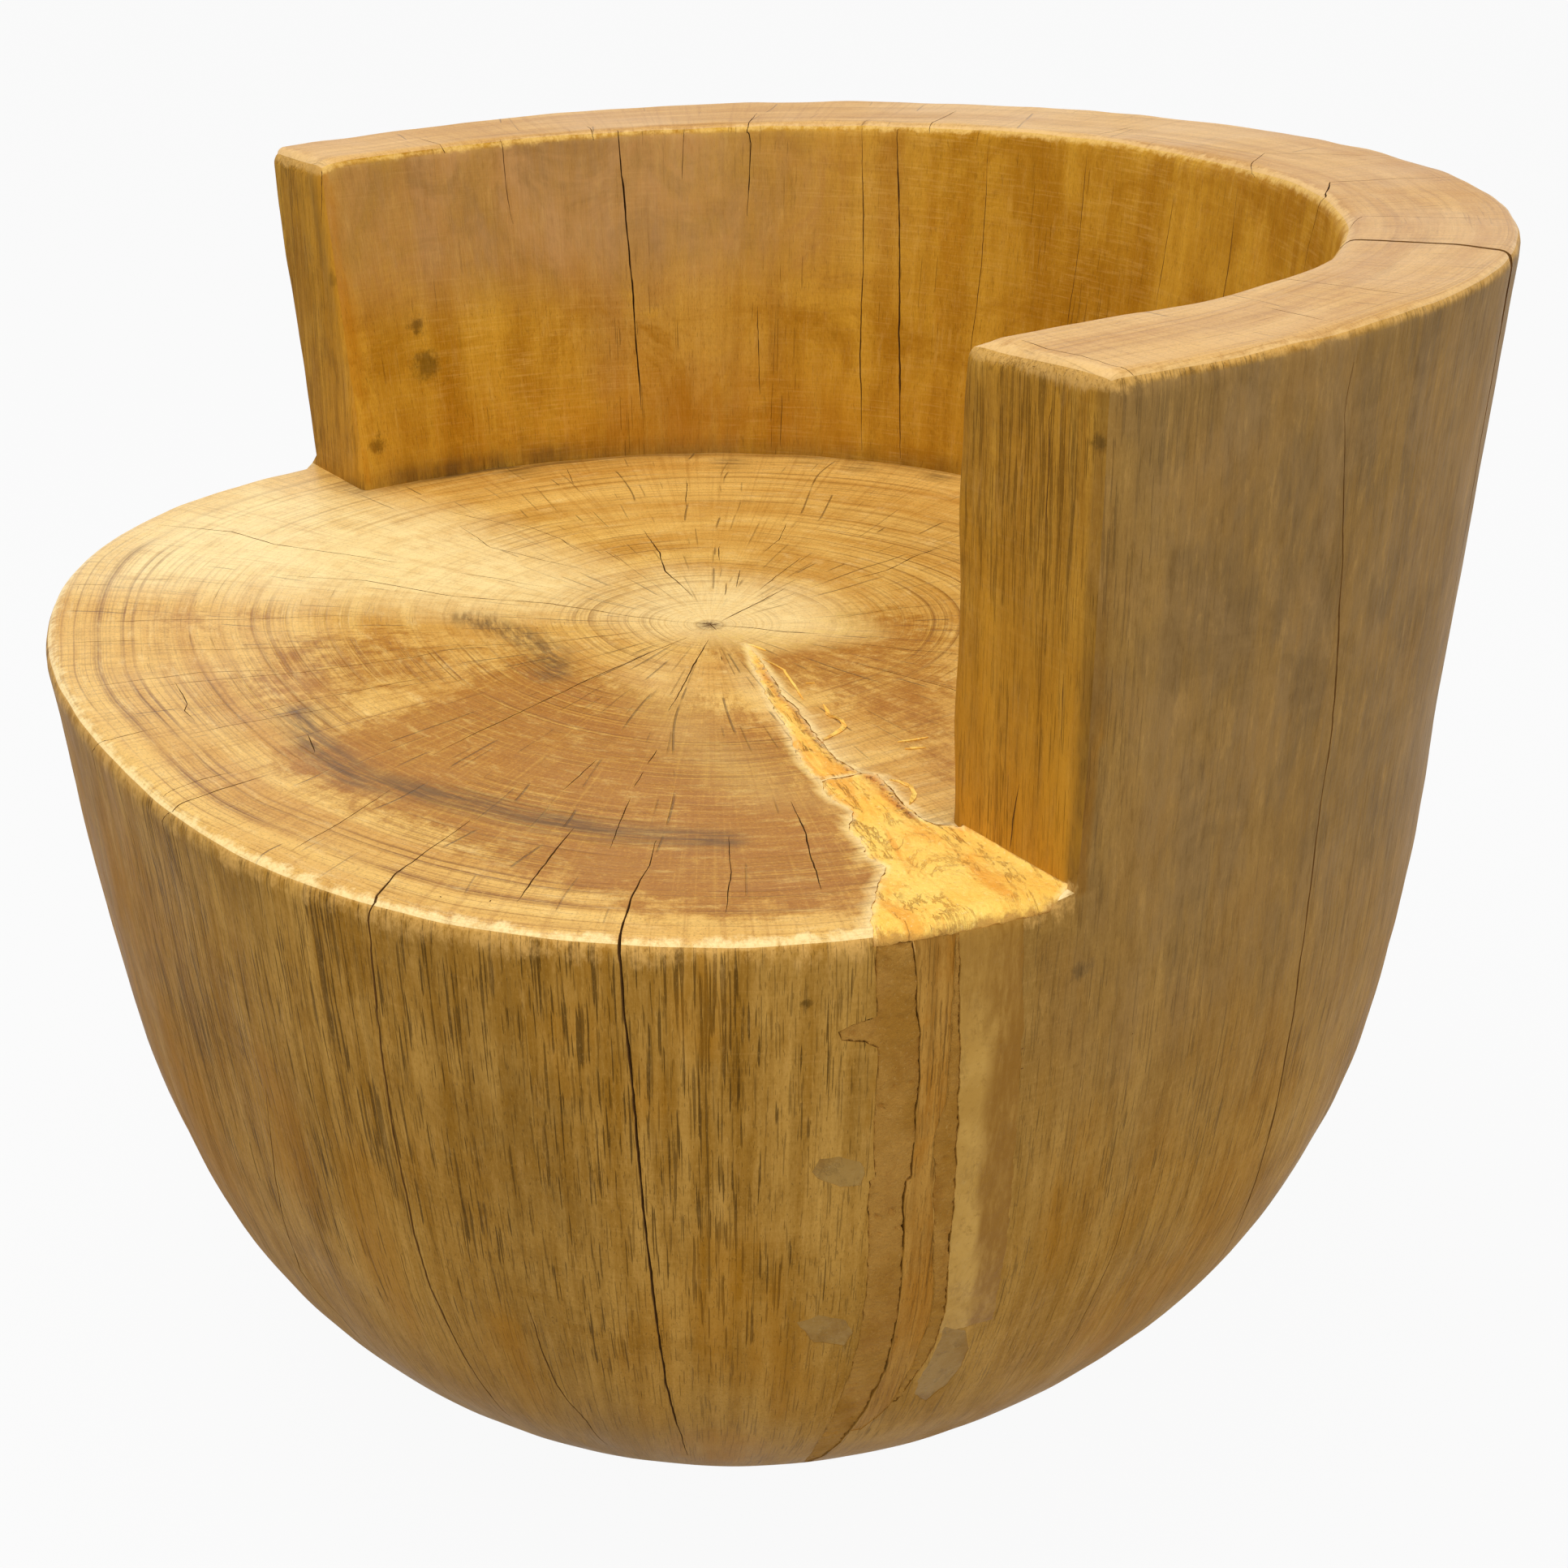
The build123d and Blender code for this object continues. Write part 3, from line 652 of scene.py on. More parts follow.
# Drying checks: how strong, and the places that each one runs through
checks = {
    "strengths": {"strong": (0.0011, 0.007), "medium": (0.0007, 0.005), "fine": (0.00045, 0.003),
        "through": (0.0026, 0.195), "hole": (0.0019, 0.005)},
    "spacing": 0.0035, "above": 0.0015, "wander": 0.00055,
    "clear": 0.0084,
    "seat": (
        ("medium", (5, -26), (12, -21), (21, -23)), ("fine", (12, -29), (14, -15)),
        ("medium", (16, -19), (27, -7), (41, 4), (52, 16)),
        ("medium", (9, -24), (-17, -46), (-57, -69), (-93, -104), (-139, -131), (-170, -163)),
        ("medium", (12, -15), (4, 2), (-14, 40)), ("medium", (-136, 29), (-98, 16), (-70, 3), (-28, -6)),
        ("fine", (-90, 48), (-68, 34)), ("fine", (-37, 19), (-21, 8)), ("fine", (-51, 36), (-28, 19)),
        ("fine", (-104, 99), (-82, 80), (-67, 60)), ("fine", (-51, 74), (-18, 26)),
        ("medium", (-25, 151), (-19, 123), (-8, 96), (-6, 72)), ("fine", (50, 92), (43, 70), (37, 35)),
        ("fine", (-127, -87), (-105, -73), (-84, -60)),
        ("fine", (-196, -50), (-154, -53), (-122, -41), (-90, -27)),
        ("fine", (-181, -21), (-146, -15), (-124, -18)), ("fine", (-117, -6), (-97, -8)),
        ("medium", (22, -40), (44, -103), (61, -145), (80, -191), (86, -204)),
        ("medium", (30, -33), (58, -59), (87, -85), (98, -96)), ("fine", (4, -46), (-7, -96), (-28, -136)),
        ("fine", (-25, -118), (-26, -160), (-36, -210), (-52, -259), (-58, -294)),
        ("fine", (134, -123), (146, -135)), ("fine", (152, -140), (164, -152)),
        ("fine", (172, -158), (192, -175), (211, -190)), ("fine", (130, -150), (151, -178)),
        ("medium", (186, -192), (204, -212), (234, -243)), ("fine", (226, -145), (254, -162), (284, -183)),
        ("medium", (211, -106), (237, -117), (256, -127), (286, -142)),
        ("fine", (-56, -264), (-26, -269), (-20, -273), (-6, -274)), ("fine", (35, -239), (56, -245)),
        ("fine", (64, -316), (58, -296), (57, -281)), ("fine", (144, -294), (130, -267), (111, -236)),
        ("fine", (-216, -259), (-204, -240)), ("fine", (-211, -235), (-194, -209)),
        ("fine", (-159, -276), (-144, -247), (-113, -195), (-91, -148)), ("fine", (-132, -285), (-118, -257)),
        ("fine", (-108, -267), (-89, -237), (-60, -186)),
        ("fine", (-74, -309), (-69, -288), (-61, -248), (-42, -215)),
        ("fine", (0, -261), (-2, -225), (0, -197), (0, -155)), ("fine", (8, -283), (8, -263), (14, -206)),
        ("medium", (-287, -184), (-253, -156), (-219, -146), (-193, -129), (-154, -102)),
        ("fine", (-232, -47), (-204, -36), (-166, -20)), ("fine", (60, 12), (102, 47), (150, 82)),
        ("fine", (88, 6), (142, 24), (205, 40)), ("fine", (92, 78), (118, 128), (140, 172)),
        ("fine", (-160, 70), (-205, 98)), ("fine", (-232, 40), (-262, 52)),
        ("hole", (213, -264), (214, -264)), ("hole", (227, -250), (228, -251)),
        ("fine", (52, -40), (58, -43)),
    ),
    "mixed": (   # over an edge, so each place says where it is
        ("strong", ("seat", 157, -223), ("seat", 170, -245), ("seat", 186, -269), ("seat", 202, -286),
            ("side", -52.1, 378), ("side", -52.4, 330), ("side", -52.7, 270), ("side", -52.6, 207),
            ("side", -51.7, 155), ("side", -50.9, 120), ("side", -50.6, 92)),
        ("strong", ("seat", 214, -171), ("seat", 232, -185), ("seat", 255, -206), ("seat", 279, -225),
            ("side", -35.7, 378), ("side", -35.2, 320), ("side", -34.9, 262), ("side", -34.4, 200),
            ("side", -34.1, 159), ("side", -33.3, 114), ("side", -33.0, 84)),
        ("medium", ("seat", 68, -272), ("seat", 73, -297), ("seat", 78, -318), ("side", -74.9, 378),
            ("side", -74.5, 360)),
        ("medium", ("seat", -7, -290), ("seat", -5, -312), ("side", -91.2, 378), ("side", -91.4, 366)),
        ("through", ("top", 216, 147), ("top", 234, 166), ("top", 269, 186), ("top", 305, 196)),
        ("medium", ("wall", 59, 530), ("wall", 58.8, 560), ("top", 148, 229), ("top", 123, 256),
            ("top", 156, 307)),
        ("fine", ("top", 204, 186), ("top", 196, 204), ("top", 247, 244)),
        ("fine", ("top", 66, 253), ("top", 38, 294), ("top", 93, 335)),
        ("fine", ("top", 301, 48), ("top", 334, 49)), ("fine", ("top", 261, 86), ("top", 322, 104)),
    ),
    "side": (
        ("medium", (-66.8, 268), (-67.5, 248), (-69.7, 197), (-72, 150), (-68.5, 127), (-67.5, 100)),
        ("medium", (-44.0, 205), (-43.7, 187), (-43.2, 147), (-41.6, 117), (-41, 84)),
        ("strong", (11.2, 572), (11.0, 556), (13.1, 489), (14.7, 418), (15.0, 324), (15.3, 292), (16.5, 222),
            (17.5, 184), (20.8, 132), (21.5, 96)),
        ("fine", (0.7, 238), (0.3, 180), (0.2, 117)), ("fine", (35.6, 372), (35.9, 330), (36.4, 262)),
        ("fine", (49, 575), (49.6, 470), (48.8, 350)),
        ("medium", (63, 574), (63.4, 480), (62.8, 370), (62.4, 260), (63.2, 170)),
        ("medium", (88, 576), (87.5, 500), (88.4, 400), (88, 330)),
        ("fine", (112, 577), (112.6, 520), (112, 455)),
        ("medium", (131, 575), (131.8, 450), (131.2, 330), (132.5, 210), (132, 130)),
        ("fine", (152, 573), (151.2, 500), (151.6, 440)), ("fine", (170, 572), (170.4, 520), (170, 470)),
        ("medium", (-155, 372), (-155.4, 290), (-154.6, 200), (-154, 130)),
        ("fine", (-126, 370), (-126.3, 330), (-126, 280)),
        ("fine", (-108, 372), (-108.4, 300), (-107.6, 220)), ("fine", (101, 300), (101.4, 220), (100.6, 150)),
        ("fine", (-178, 560), (-177.6, 440), (-178, 330)), ("hole", (-13.2, 362), (-13.2, 361.5)),
        ("hole", (-14.1, 356), (-14.1, 355.5)), ("hole", (-12.1, 322), (-12.1, 321.5)),
        ("hole", (-11.7, 314), (-11.7, 313.5)), ("hole", (-1.9, 314), (-1.9, 313.5)),
        ("hole", (-25.9, 190), (-25.8, 190)),
    ),
    "wall": (
        ("strong", (156, 575), (155.7, 540), (155.1, 480), (154.6, 412)),
        ("fine", (168.5, 572), (168.4, 540), (168, 520)), ("fine", (149, 572), (149.3, 540)),
        ("medium", (130, 572), (129.2, 520), (128.8, 450), (128, 392)),
        ("strong", (126, 572), (125, 520), (124, 450), (123, 390)),
        ("fine", (115, 572), (114.6, 500), (115, 440)), ("fine", (102, 572), (101.6, 520), (101.9, 470)),
        ("medium", (77, 572), (76.4, 530), (76.8, 470), (77, 420)), ("fine", (88, 560), (88.3, 500)),
        ("fine", (20, 560), (19, 480), (19.6, 410)), ("fine", (44, 566), (43.4, 500), (43.9, 450)),
        ("fine", (141, 470), (140.6, 420)), ("fine", (138, 420), (138, 391)),
    ),
    "across": (   # from the inner wall over the top
        ("medium", ("wall", 142.3, 520), ("wall", 142, 560), ("top", -248, 166), ("top", -268, 183),
            ("top", -285, 198)),
        ("fine", ("top", 284, -54), ("top", 300, -55.5), ("top", 318, -54.5), ("top", 336, -56),
            ("top", 348, -54)),
        ("fine", ("top", -282, 90), ("top", -318, 103)),
        ("medium", ("top", -168, 232), ("top", -186, 258), ("top", -205, 283)),
        ("fine", ("top", -72, 276), ("top", -80, 312)), ("fine", ("top", -300, 10), ("top", -352, 12)),
    ),
    "arm": (
        ("medium", (317, 566), (316, 561), (316.5, 543), (316, 520)),
        ("medium", (306.5, 418), (303.5, 402), (302, 389)), ("fine", (330, 470), (330, 440)),
        ("fine", (-315, 560), (-315.5, 530)), ("fine", (-301, 452), (-301, 420)),
    ),
}


def pathOf(places, surface):
    # Places every few mm along a check, wandering a little, on the log's surface, and the way out there
    points = []
    for start, end in zip(places, places[1:]):
        count = max(1, round((end - start).length / checks["spacing"]))
        points += [start.lerp(end, k / count) for k in range(count)]
    points.append(places[-1])
    path, wander = [], checks["wander"]
    for k, point in enumerate(points):
        inside = 0 < k < len(points) - 1
        shift = noise.noise_vector(point * 60) * wander + noise.noise_vector(point * 210) * wander * 0.6
        place, normal, face, far = surface.find_nearest(point + shift * inside)
        path.append([place, normal])
    smooth = []
    for k, (place, normal) in enumerate(path):
        around = [path[max(k - 1, 0)][1], normal, path[min(k + 1, len(path) - 1)][1]]
        smooth.append((place, sum(around, Vector()).normalized()))
    return smooth


def blade(path, width, depth, straight=None, above=None):
    # A three-sided bar, divided along its length and bent to a check's path, thin at its ends
    count = len(path)
    bpy.ops.object.select_all(action="DESELECT")
    bpy.ops.mesh.primitive_cylinder_add(vertices=3, radius=1, depth=1, end_fill_type="NGON")
    piece = bpy.context.object
    if count > 2:
        bpy.ops.object.mode_set(mode="EDIT")
        selectBy("EDGE", lambda edge: abs(edge.verts[0].co.z - edge.verts[1].co.z) > 0.5)
        bpy.ops.mesh.subdivide(number_cuts=count - 2)
        bpy.ops.object.mode_set(mode="OBJECT")
    corners = {}
    for vertex in piece.data.vertices:
        ring = round((vertex.co.z + 0.5) * (count - 1))
        which = round((degrees(atan2(vertex.co.x, vertex.co.y)) % 360) / 120) % 3
        corners[vertex.index] = (ring, which)
    above = checks["above"] if above is None else above
    for vertex in piece.data.vertices:
        ring, which = corners[vertex.index]
        place, normal = path[ring]
        normal = straight or normal
        along = (path[min(ring + 1, count - 1)][0] - path[max(ring - 1, 0)][0])
        along = (along - normal * along.dot(normal)).normalized()
        side = along.cross(normal)
        taper = 1
        if straight is None:
            share = ring / max(count - 1, 1)
            taper = min(1, 0.25 + 3.5 * min(share, 1 - share)) * (0.85 + 0.5 * noise.noise(place * 130))
        deep = depth * (0.4 + 0.6 * taper)
        half = width / 2 * taper * (deep + above) / deep
        move = -normal * deep if which == 0 else normal * above + side * (half if which == 1 else -half)
        vertex.co = place + move
    turnOut(piece)
    return piece


def cutChecks():
    tree = BVHTree.FromObject(trunk, bpy.context.evaluated_depsgraph_get())
    lines = []
    for kind in ("seat", "side", "wall", "arm"):
        lines += [(strength, [placeOn(kind, a, b) for a, b in places]) for strength, *places in checks[kind]]
    for strength, *places in checks["mixed"] + checks["across"]:
        lines.append((strength, [placeOn(*place) for place in places]))
    groups = []
    for strength, places in lines:
        width, depth = checks["strengths"][strength]
        path = pathOf(places, tree)
        straight = None
        if strength == "through":
            straight = Vector((0, 0, 1))
            ahead = (path[-1][0] - path[0][0]).normalized() * 0.03
            path = [(path[0][0] - ahead, straight)] + path + [(path[-1][0] + ahead, straight)]
        piece = blade(path, width, depth, straight)
        spots = np.array([place for place, normal in path])
        for group in groups:
            gaps = [np.min(np.linalg.norm(spots[:, None] - other[None], axis=2)) for other in group["spots"]]
            if strength != "through" and min(gaps) > checks["clear"]:
                break
        else:
            group = {"pieces": [], "spots": []}
            groups.append(group)
        group["pieces"].append(piece)
        group["spots"].append(spots)
    for group in groups:
        selectOnly(*group["pieces"][::-1])
        if len(group["pieces"]) > 1:
            bpy.ops.object.join()
        tool = bpy.context.object
        addRegions(tool)
        paintAll(tool, regions.index("check_walls"))
        cut(trunk, tool)
        deleteTool(tool)
    print("checks cut in", len(groups), "rounds")


def addLoops():
    tree = BVHTree.FromObject(trunk, bpy.context.evaluated_depsgraph_get())
    made = []
    for width, *places in split["loops"]:
        path = pathOf([placeOn("seat", a, b) for a, b in places], tree)
        made.append(blade(path, width, split["loopDepth"], above=split["loopAbove"]))
    selectOnly(*made, fillings["vein_filler"])
    bpy.ops.object.join()


addLoops()
cutChecks()
print("checks cut, trunk", len(trunk.data.polygons))

# Where the wood is stained, orange, dark or worn, and where sheen, bounce light and shade are painted on;
# outlines and lines are round the seat's centre, in mm
tones = {
    "stains": (
        {"amount": 0.95, "soft": 34, "outline": ((1, -96), (61, -82), (103, -56), (184, -54), (251, -75),
            (317, -110), (297, -166), (270, -194), (212, -214), (131, -233), (77, -252), (45, -214),
            (42, -166))},
        {"amount": 0.7, "soft": 30, "outline": ((40, 23), (30, 72), (76, 98), (195, 11), (237, -21),
            (180, -9), (121, -11), (62, -4))},
        {"amount": 0.75, "soft": 16, "outline": ((24, -8), (44, 22), (84, 22), (116, -12), (84, -30),
            (44, -24))},
        {"amount": 0.58, "soft": 40, "outline": ((-60, -130), (-10, -110), (20, -150), (30, -225),
            (-30, -235), (-75, -190))},
        {"amount": 0.28, "soft": 44, "outline": ((-130, -160), (-95, -140), (-80, -215), (-110, -255),
            (-150, -215))},
    ),
    # Pale places of the seat; the two large ones, at the left and round the pith, are painted sheen as well
    # as paler wood
    "paleAndSheen": (
        {"amount": 1.15, "soft": 60, "outline": ((-330, -90), (-200, -30), (-70, -10), (-35, -40), (-60, -85),
            (-130, -150), (-205, -225), (-275, -180))},
        {"amount": 1.0, "soft": 40, "outline": ((-60, 20), (0, 60), (70, 50), (60, 5), (20, -30),
            (-20, -40))},
        {"amount": 0.22, "soft": 26, "outline": ((36, -40), (60, -45), (150, -75), (235, -80), (215, -105),
            (130, -100), (60, -75))},
        {"amount": 0.35, "soft": 12, "outline": ((60, -18), (120, -25), (200, -40), (235, -58), (180, -50),
            (100, -36))},
    ),
    "arcs": (
        ((20, -215), (60, -224), (102, -225), (144, -201), (173, -187), (204, -167), (238, -132)),
        ((-52, -96), (-20, -88), (12, -86), (40, -100)),
    ),
    # The creases are painted shade where the wall meets the seat
    "creases": (   # x, y and how far it reaches
        (-294, 39, 26), (-266, 43, 22), (-283, -47, 22), (-244, 147, 20), (-209, 153, 18), (-190, 197, 22),
        (-160, 210, 16), (-262, 96, 14), (-120, 238, 16),
    ),
    "patches": (   # glowing patches of the outside: angle, height, how wide in degrees and how tall
        (-29, 0.21, 4.5, 0.06), (-30, 0.095, 5, 0.03), (-25, 0.17, 2, 0.05), (-57, 0.21, 3.5, 0.07),
        (-66, 0.25, 4, 0.05), (-46, 0.16, 3, 0.04), (-5, 0.24, 3, 0.05), (6, 0.14, 6, 0.04),
        (-31, 0.36, 2, 0.03), (100, 0.3, 8, 0.08), (160, 0.25, 6, 0.09), (-120, 0.3, 6, 0.06),
    ),
    "zones": (   # what, on which surface, how strong; then its angle and its height, each with where it fades
        # Painted sheen, pinkish grey, high on the inner wall's left
        ("sheenShadeAndGrey", "wall", 1, (163, 8, 45), (0.535, 0.02, 0.075)),
        # Grey tone with a painted sheen on the outside's upper right
        ("sheenShadeAndGrey", "side", 1, (22, 20, 42), (0.60, 0.18, 0.45)),
        # Greyer and darker low on the outside's front left: painted shade near the floor as well as grey tone
        ("sheenShadeAndGrey", "side", 0.45, (-62, 22, 40), (0, 0.05, 0.17)),
        # Deeper orange on the bowl's left: painted shade there as well as the wood's tone
        ("glow", "side", 0.95, (-102, 10, 38), (0.26, 0.05, 0.17)),
    ),
    "fades": {   # how strong a tone is, and where it starts and ends to fade
        "edge": (1, 0.003, 0.010), "rim": (0.6, 0.007, 0.016), "arris": (0.85, 0.001, 0.0035),
        "arc": (0.85, 1, 15), "crease": (0.7, 2), "pith": (1.3, 0.0015, 0.008),
        "besideFilling": (0.9, 0.5, 3.5), "wallFoot": (0.5, 0.001, 0.013), "gap": (0.95, 0.001, 0.008),
        "gapEnds": (1, 6, 22), "armCorner": (0.6, 0.003, 0.010), "armCornerLow": (1, 0.44, 0.56),
        "foot": (0.45, 0.0, 0.03), "wallLow": (0.7, 0.40, 0.46), "wallLeft": (0.6, 15, 50),
        "leftArm": (0.9, 0.004, 0.018), "rightArm": (0.9, 0.42, 0.54), "patch": (0.75, 0.6, 1.1),
        "pitted": (1, 1.5, 6.5), "fringe": (1, 0.3, 3.2),
    },
    "edgeGaps": {"outer": 0.002, "inner": 0.0025, "arm": -0.001},     # a larger gap makes a thinner worn edge
    "gapAngle": 174, "wallLeftAngle": 155, "wallRest": 0.4,
    "smooth": {   # the smooth filling: where its brown right side starts, and its brown top
        "heights": (0.18, 0.231, 0.264, 0.295, 0.336, 0.376),
        "angles": (-11.6, -12.4, -12.9, -13.1, -12.9, -13.4), "soft": 0.35, "topFrom": 0.325, "topOver": 0.03,
        "top": 0.75,
    },
}


def distanceTo(points, line, closed):
    # Distance of each point to a line of straight parts
    line = np.array(line, float)
    after = np.roll(line, -1, 0) if closed else line[1:]
    best = np.full(len(points), 1e9)
    for a, b in zip(line if closed else line[:-1], after):
        along = b - a
        t = np.clip(((points - a) @ along) / (along @ along), 0, 1)
        best = np.minimum(best, np.linalg.norm(points - a - t[:, None] * along, axis=1))
    return best


def insideOf(points, outline):
    outline = np.array(outline, float)
    inside = np.zeros(len(points), bool)
    for (ax, ay), (bx, by) in zip(outline, np.roll(outline, -1, 0)):
        crosses = (ay > points[:, 1]) != (by > points[:, 1])
        with np.errstate(divide="ignore", invalid="ignore"):
            at = (bx - ax) * (points[:, 1] - ay) / (by - ay) + ax
        inside ^= crosses & (points[:, 0] < at)
    return inside


def softAreas(points, areas):
    # How strongly each point lies in any of the areas, with soft borders
    best = np.zeros(len(points))
    for area in areas:
        far = distanceTo(points, area["outline"], True) * np.where(insideOf(points, area["outline"]), 1, -1)
        best = np.maximum(best, area["amount"] * np.clip(far / area["soft"] + 0.5, 0, 1))
    return best


def paint(piece, layers):
    # Writes layers of values, one for each point
    for name, values in layers.items():
        layer = piece.data.attributes.new(name, "FLOAT", "POINT")
        layer.data.foreach_set("value", np.ascontiguousarray(values, dtype=np.float32))


def turnFrom(angle, middle):
    # How many degrees an angle is from the middle one, either way round
    return np.abs((angle - middle + 180) % 360 - 180)


def fade(name, distance, far=None):
    amount, near, *end = tones["fades"][name]
    return amount * falling(distance, near, far or end[0])


def paintTrunk(piece):
    co = pointsOf(piece)
    x, y, z = co.T
    plan = co[:, :2] - pith
    far, bearing = np.hypot(plan[:, 0], plan[:, 1]), np.arctan2(plan[:, 1], plan[:, 0])
    outer, inner = reach(outsideTable, bearing, z), reach(hollowTable, bearing, np.maximum(z, seatHeight))
    rimReach = reach(outsideTable, bearing, np.full(len(z), seatHeight))
    fromOut, fromIn = np.abs(outer - far), np.abs(far - inner)
    fromTop, fromArm, below = topLevel(x, y) - z, y - armLine, seatHeight - z
    local = (co[:, :2] - seatCentre) * 1000
    around = np.degrees(np.arctan2(local[:, 1], local[:, 0]))
    # Worn edges of the back, and the seat's rim
    back = (z > seatHeight + 0.003) & (fromArm > -0.004)
    gaps = tones["edgeGaps"]
    edges = np.minimum.reduce([np.maximum(off, fromTop) + gaps[side] for side, off in
                               (("outer", fromOut), ("inner", fromIn), ("arm", np.abs(fromArm)))])
    rim = (fromArm < 0.002) & (z > 0.3) & (below > -0.003)
    rimBand = fade("rim", np.maximum(fromOut * 1.5, below))
    rimBand = np.maximum(rimBand, fade("arris", np.hypot(fromOut - 0.003, below - 0.0025)))
    worn = np.maximum(np.where(back, fade("edge", edges), 0), np.where(rim, rimBand, 0))
    # The seat's stains, its pale places and painted sheen, its dark arcs and pith, and painted shade in the
    # crease at the back
    onSeat = (np.abs(below - 0.004) < 0.008) & (far < outer + 0.01)
    stain, light = softAreas(local, tones["stains"]), softAreas(local, tones["paleAndSheen"])
    darkMarksAndShade = fade("pith", far)
    for line in tones["arcs"]:
        darkMarksAndShade = np.maximum(darkMarksAndShade, fade("arc", distanceTo(local, line, False)))
    for a, b, size in tones["creases"]:
        darkMarksAndShade = np.maximum(darkMarksAndShade, fade("crease", np.hypot(local[:, 0] - a, local[:, 1] - b), size))
    for entry in (split["patch"], split["vein"]):
        off = distanceTo(co[:, :2] * 1000, entry["outline"], True)
        light = np.maximum(light, fade("besideFilling", off) * (below < 0.003))
    stain, light, darkMarksAndShade = stain * onSeat * (1 - 0.7 * np.minimum(light, 1)), light * onSeat, darkMarksAndShade * onSeat
    # Painted shade where the wall meets the seat, in the gap at the left arm, and at the foot towards the
    # floor; the right arm's corner is darker too
    wallFoot = fade("wallFoot", np.maximum(fromIn, np.abs(below)))
    darkMarksAndShade = np.maximum(darkMarksAndShade, wallFoot * ((fromArm > -0.01) & (below < 0.01)))
    gap = fade("gap", np.hypot(fromIn - 0.002, (below + 0.002) * 0.6))
    gap *= fade("gapEnds", turnFrom(around, tones["gapAngle"]))
    darkMarksAndShade = np.maximum(darkMarksAndShade, gap * (fromArm > 0))
    armCorner = fade("armCorner", np.hypot(fromOut, fromArm)) * fade("armCornerLow", z)
    darkMarksAndShade = np.maximum(darkMarksAndShade, armCorner * ((x > 0) & (below < 0)))
    darkMarksAndShade = np.maximum(darkMarksAndShade, fade("foot", z))
    # Orange of the sides and the wall's foot, painted bounce light on the right arm, and zones of painted
    # sheen, grey and shade
    wall = back & (fromIn < 0.02) & (fromTop > 0.004)
    surfaces = {"wall": wall, "side": (fromOut < 0.006) & (fromTop > 0.004)}
    atLeft = tones["wallRest"] + fade("wallLeft", np.abs(around - tones["wallLeftAngle"]))
    glow = fade("wallLow", z) * atLeft * wall
    glow = np.maximum(glow, fade("leftArm", fromIn) * (back & (x < 0) & (fromArm < 0.006)))
    # Painted bounce light: the right arm's end brighter and more orange low down
    glow = np.maximum(glow, fade("rightArm", z) * ((x > 0.2) & (np.abs(fromArm) < 0.006) & (below < 0)))
    for angle, level, wide, tall in tones["patches"]:
        off = np.hypot(turnFrom(around, angle) / wide, (z - level) / tall)
        glow = np.maximum(glow, fade("patch", off) * surfaces["side"])
    layers = {"sheenShadeAndGrey": np.zeros(len(z)), "glow": glow}
    for what, surface, amount, (angle, *turn), (level, *rise) in tones["zones"]:
        zone = falling(turnFrom(around, angle), *turn) * falling(np.abs(z - level), *rise)
        layers[what] = np.maximum(layers[what], amount * surfaces[surface] * zone)
    # The rings follow the log's own outline, drawn in towards the pith
    layers["ring"] = far / rimReach * seatRadius
    layers.update({"worn": worn, "stain": stain, "light": light, "darkMarksAndShade": darkMarksAndShade})
    paint(piece, layers)


def paintFilling(entry):
    # How near each point is to the pitted right edge, and to the pale fringe
    piece = fillings[entry["name"]]
    plan = pointsOf(piece)[:, :2] * 1000
    paint(piece, {"pitted": fade("pitted", distanceTo(plan, entry["pitted"], False)),
                  "fringe": fade("fringe", distanceTo(plan, entry["outline"], True))})


def paintSmooth(piece):
    # The smooth filling is pale on its left and brown on its right, and brown at its top
    look = tones["smooth"]
    x, y, z = pointsOf(piece).T
    angle = np.degrees(np.arctan2(y - seatCentre[1], x - seatCentre[0]))
    border = np.interp(z, look["heights"], look["angles"])
    brown = np.clip((angle - border) / look["soft"] + 0.5, 0, 1)
    top = look["top"] * np.clip((z - look["topFrom"]) / look["topOver"], 0, 1)
    paint(piece, {"stain": np.maximum(brown, top)})


paintTrunk(trunk)
paintSmooth(fillings["smooth_filler"])
paintFilling(split["vein"])
paintFilling(split["patch"])
print("trunk painted")


# Small builders for the materials' nodes
def linear(red, green, blue):
    # A colour as a screen shows it, 0 to 255, in the shader's own amounts
    return tuple(((v / 255 + 0.055) / 1.055)**2.4 for v in (red, green, blue)) + (1,)


def addNode(tree, kind, inputs=(), **settings):
    node = tree.nodes.new("ShaderNode" + kind)
    for name, value in settings.items():
        setattr(node, name, value)
    for name, value in dict(inputs).items():
        if isinstance(value, bpy.types.NodeSocket):
            tree.links.new(value, node.inputs[name])
        else:
            node.inputs[name].default_value = value
    return node


def maths(tree, operation, a, b=0.5, clamp=False):
    return addNode(tree, "Math", {0: a, 1: b}, operation=operation, use_clamp=clamp).outputs[0]


def times(tree, a, b, clamp=False):
    return maths(tree, "MULTIPLY", a, b, clamp)


def plus(tree, a, b):
    return maths(tree, "ADD", a, b)


def minus(tree, a, b):
    return maths(tree, "SUBTRACT", a, b)


def larger(tree, a, b):
    return maths(tree, "MAXIMUM", a, b)


def vectors(tree, operation, a, b=None, result=0):
    inputs = {0: a} if b is None else {0: a, 1: b}
    return addNode(tree, "VectorMath", inputs, operation=operation).outputs[result]


def spread(tree, value, low, high, start=0.0, end=1.0):
    # Smooth step from low to high
    levels = {"Value": value, "From Min": low, "From Max": high, "To Min": start, "To Max": end}
    return addNode(tree, "MapRange", levels, interpolation_type="SMOOTHSTEP").outputs[0]


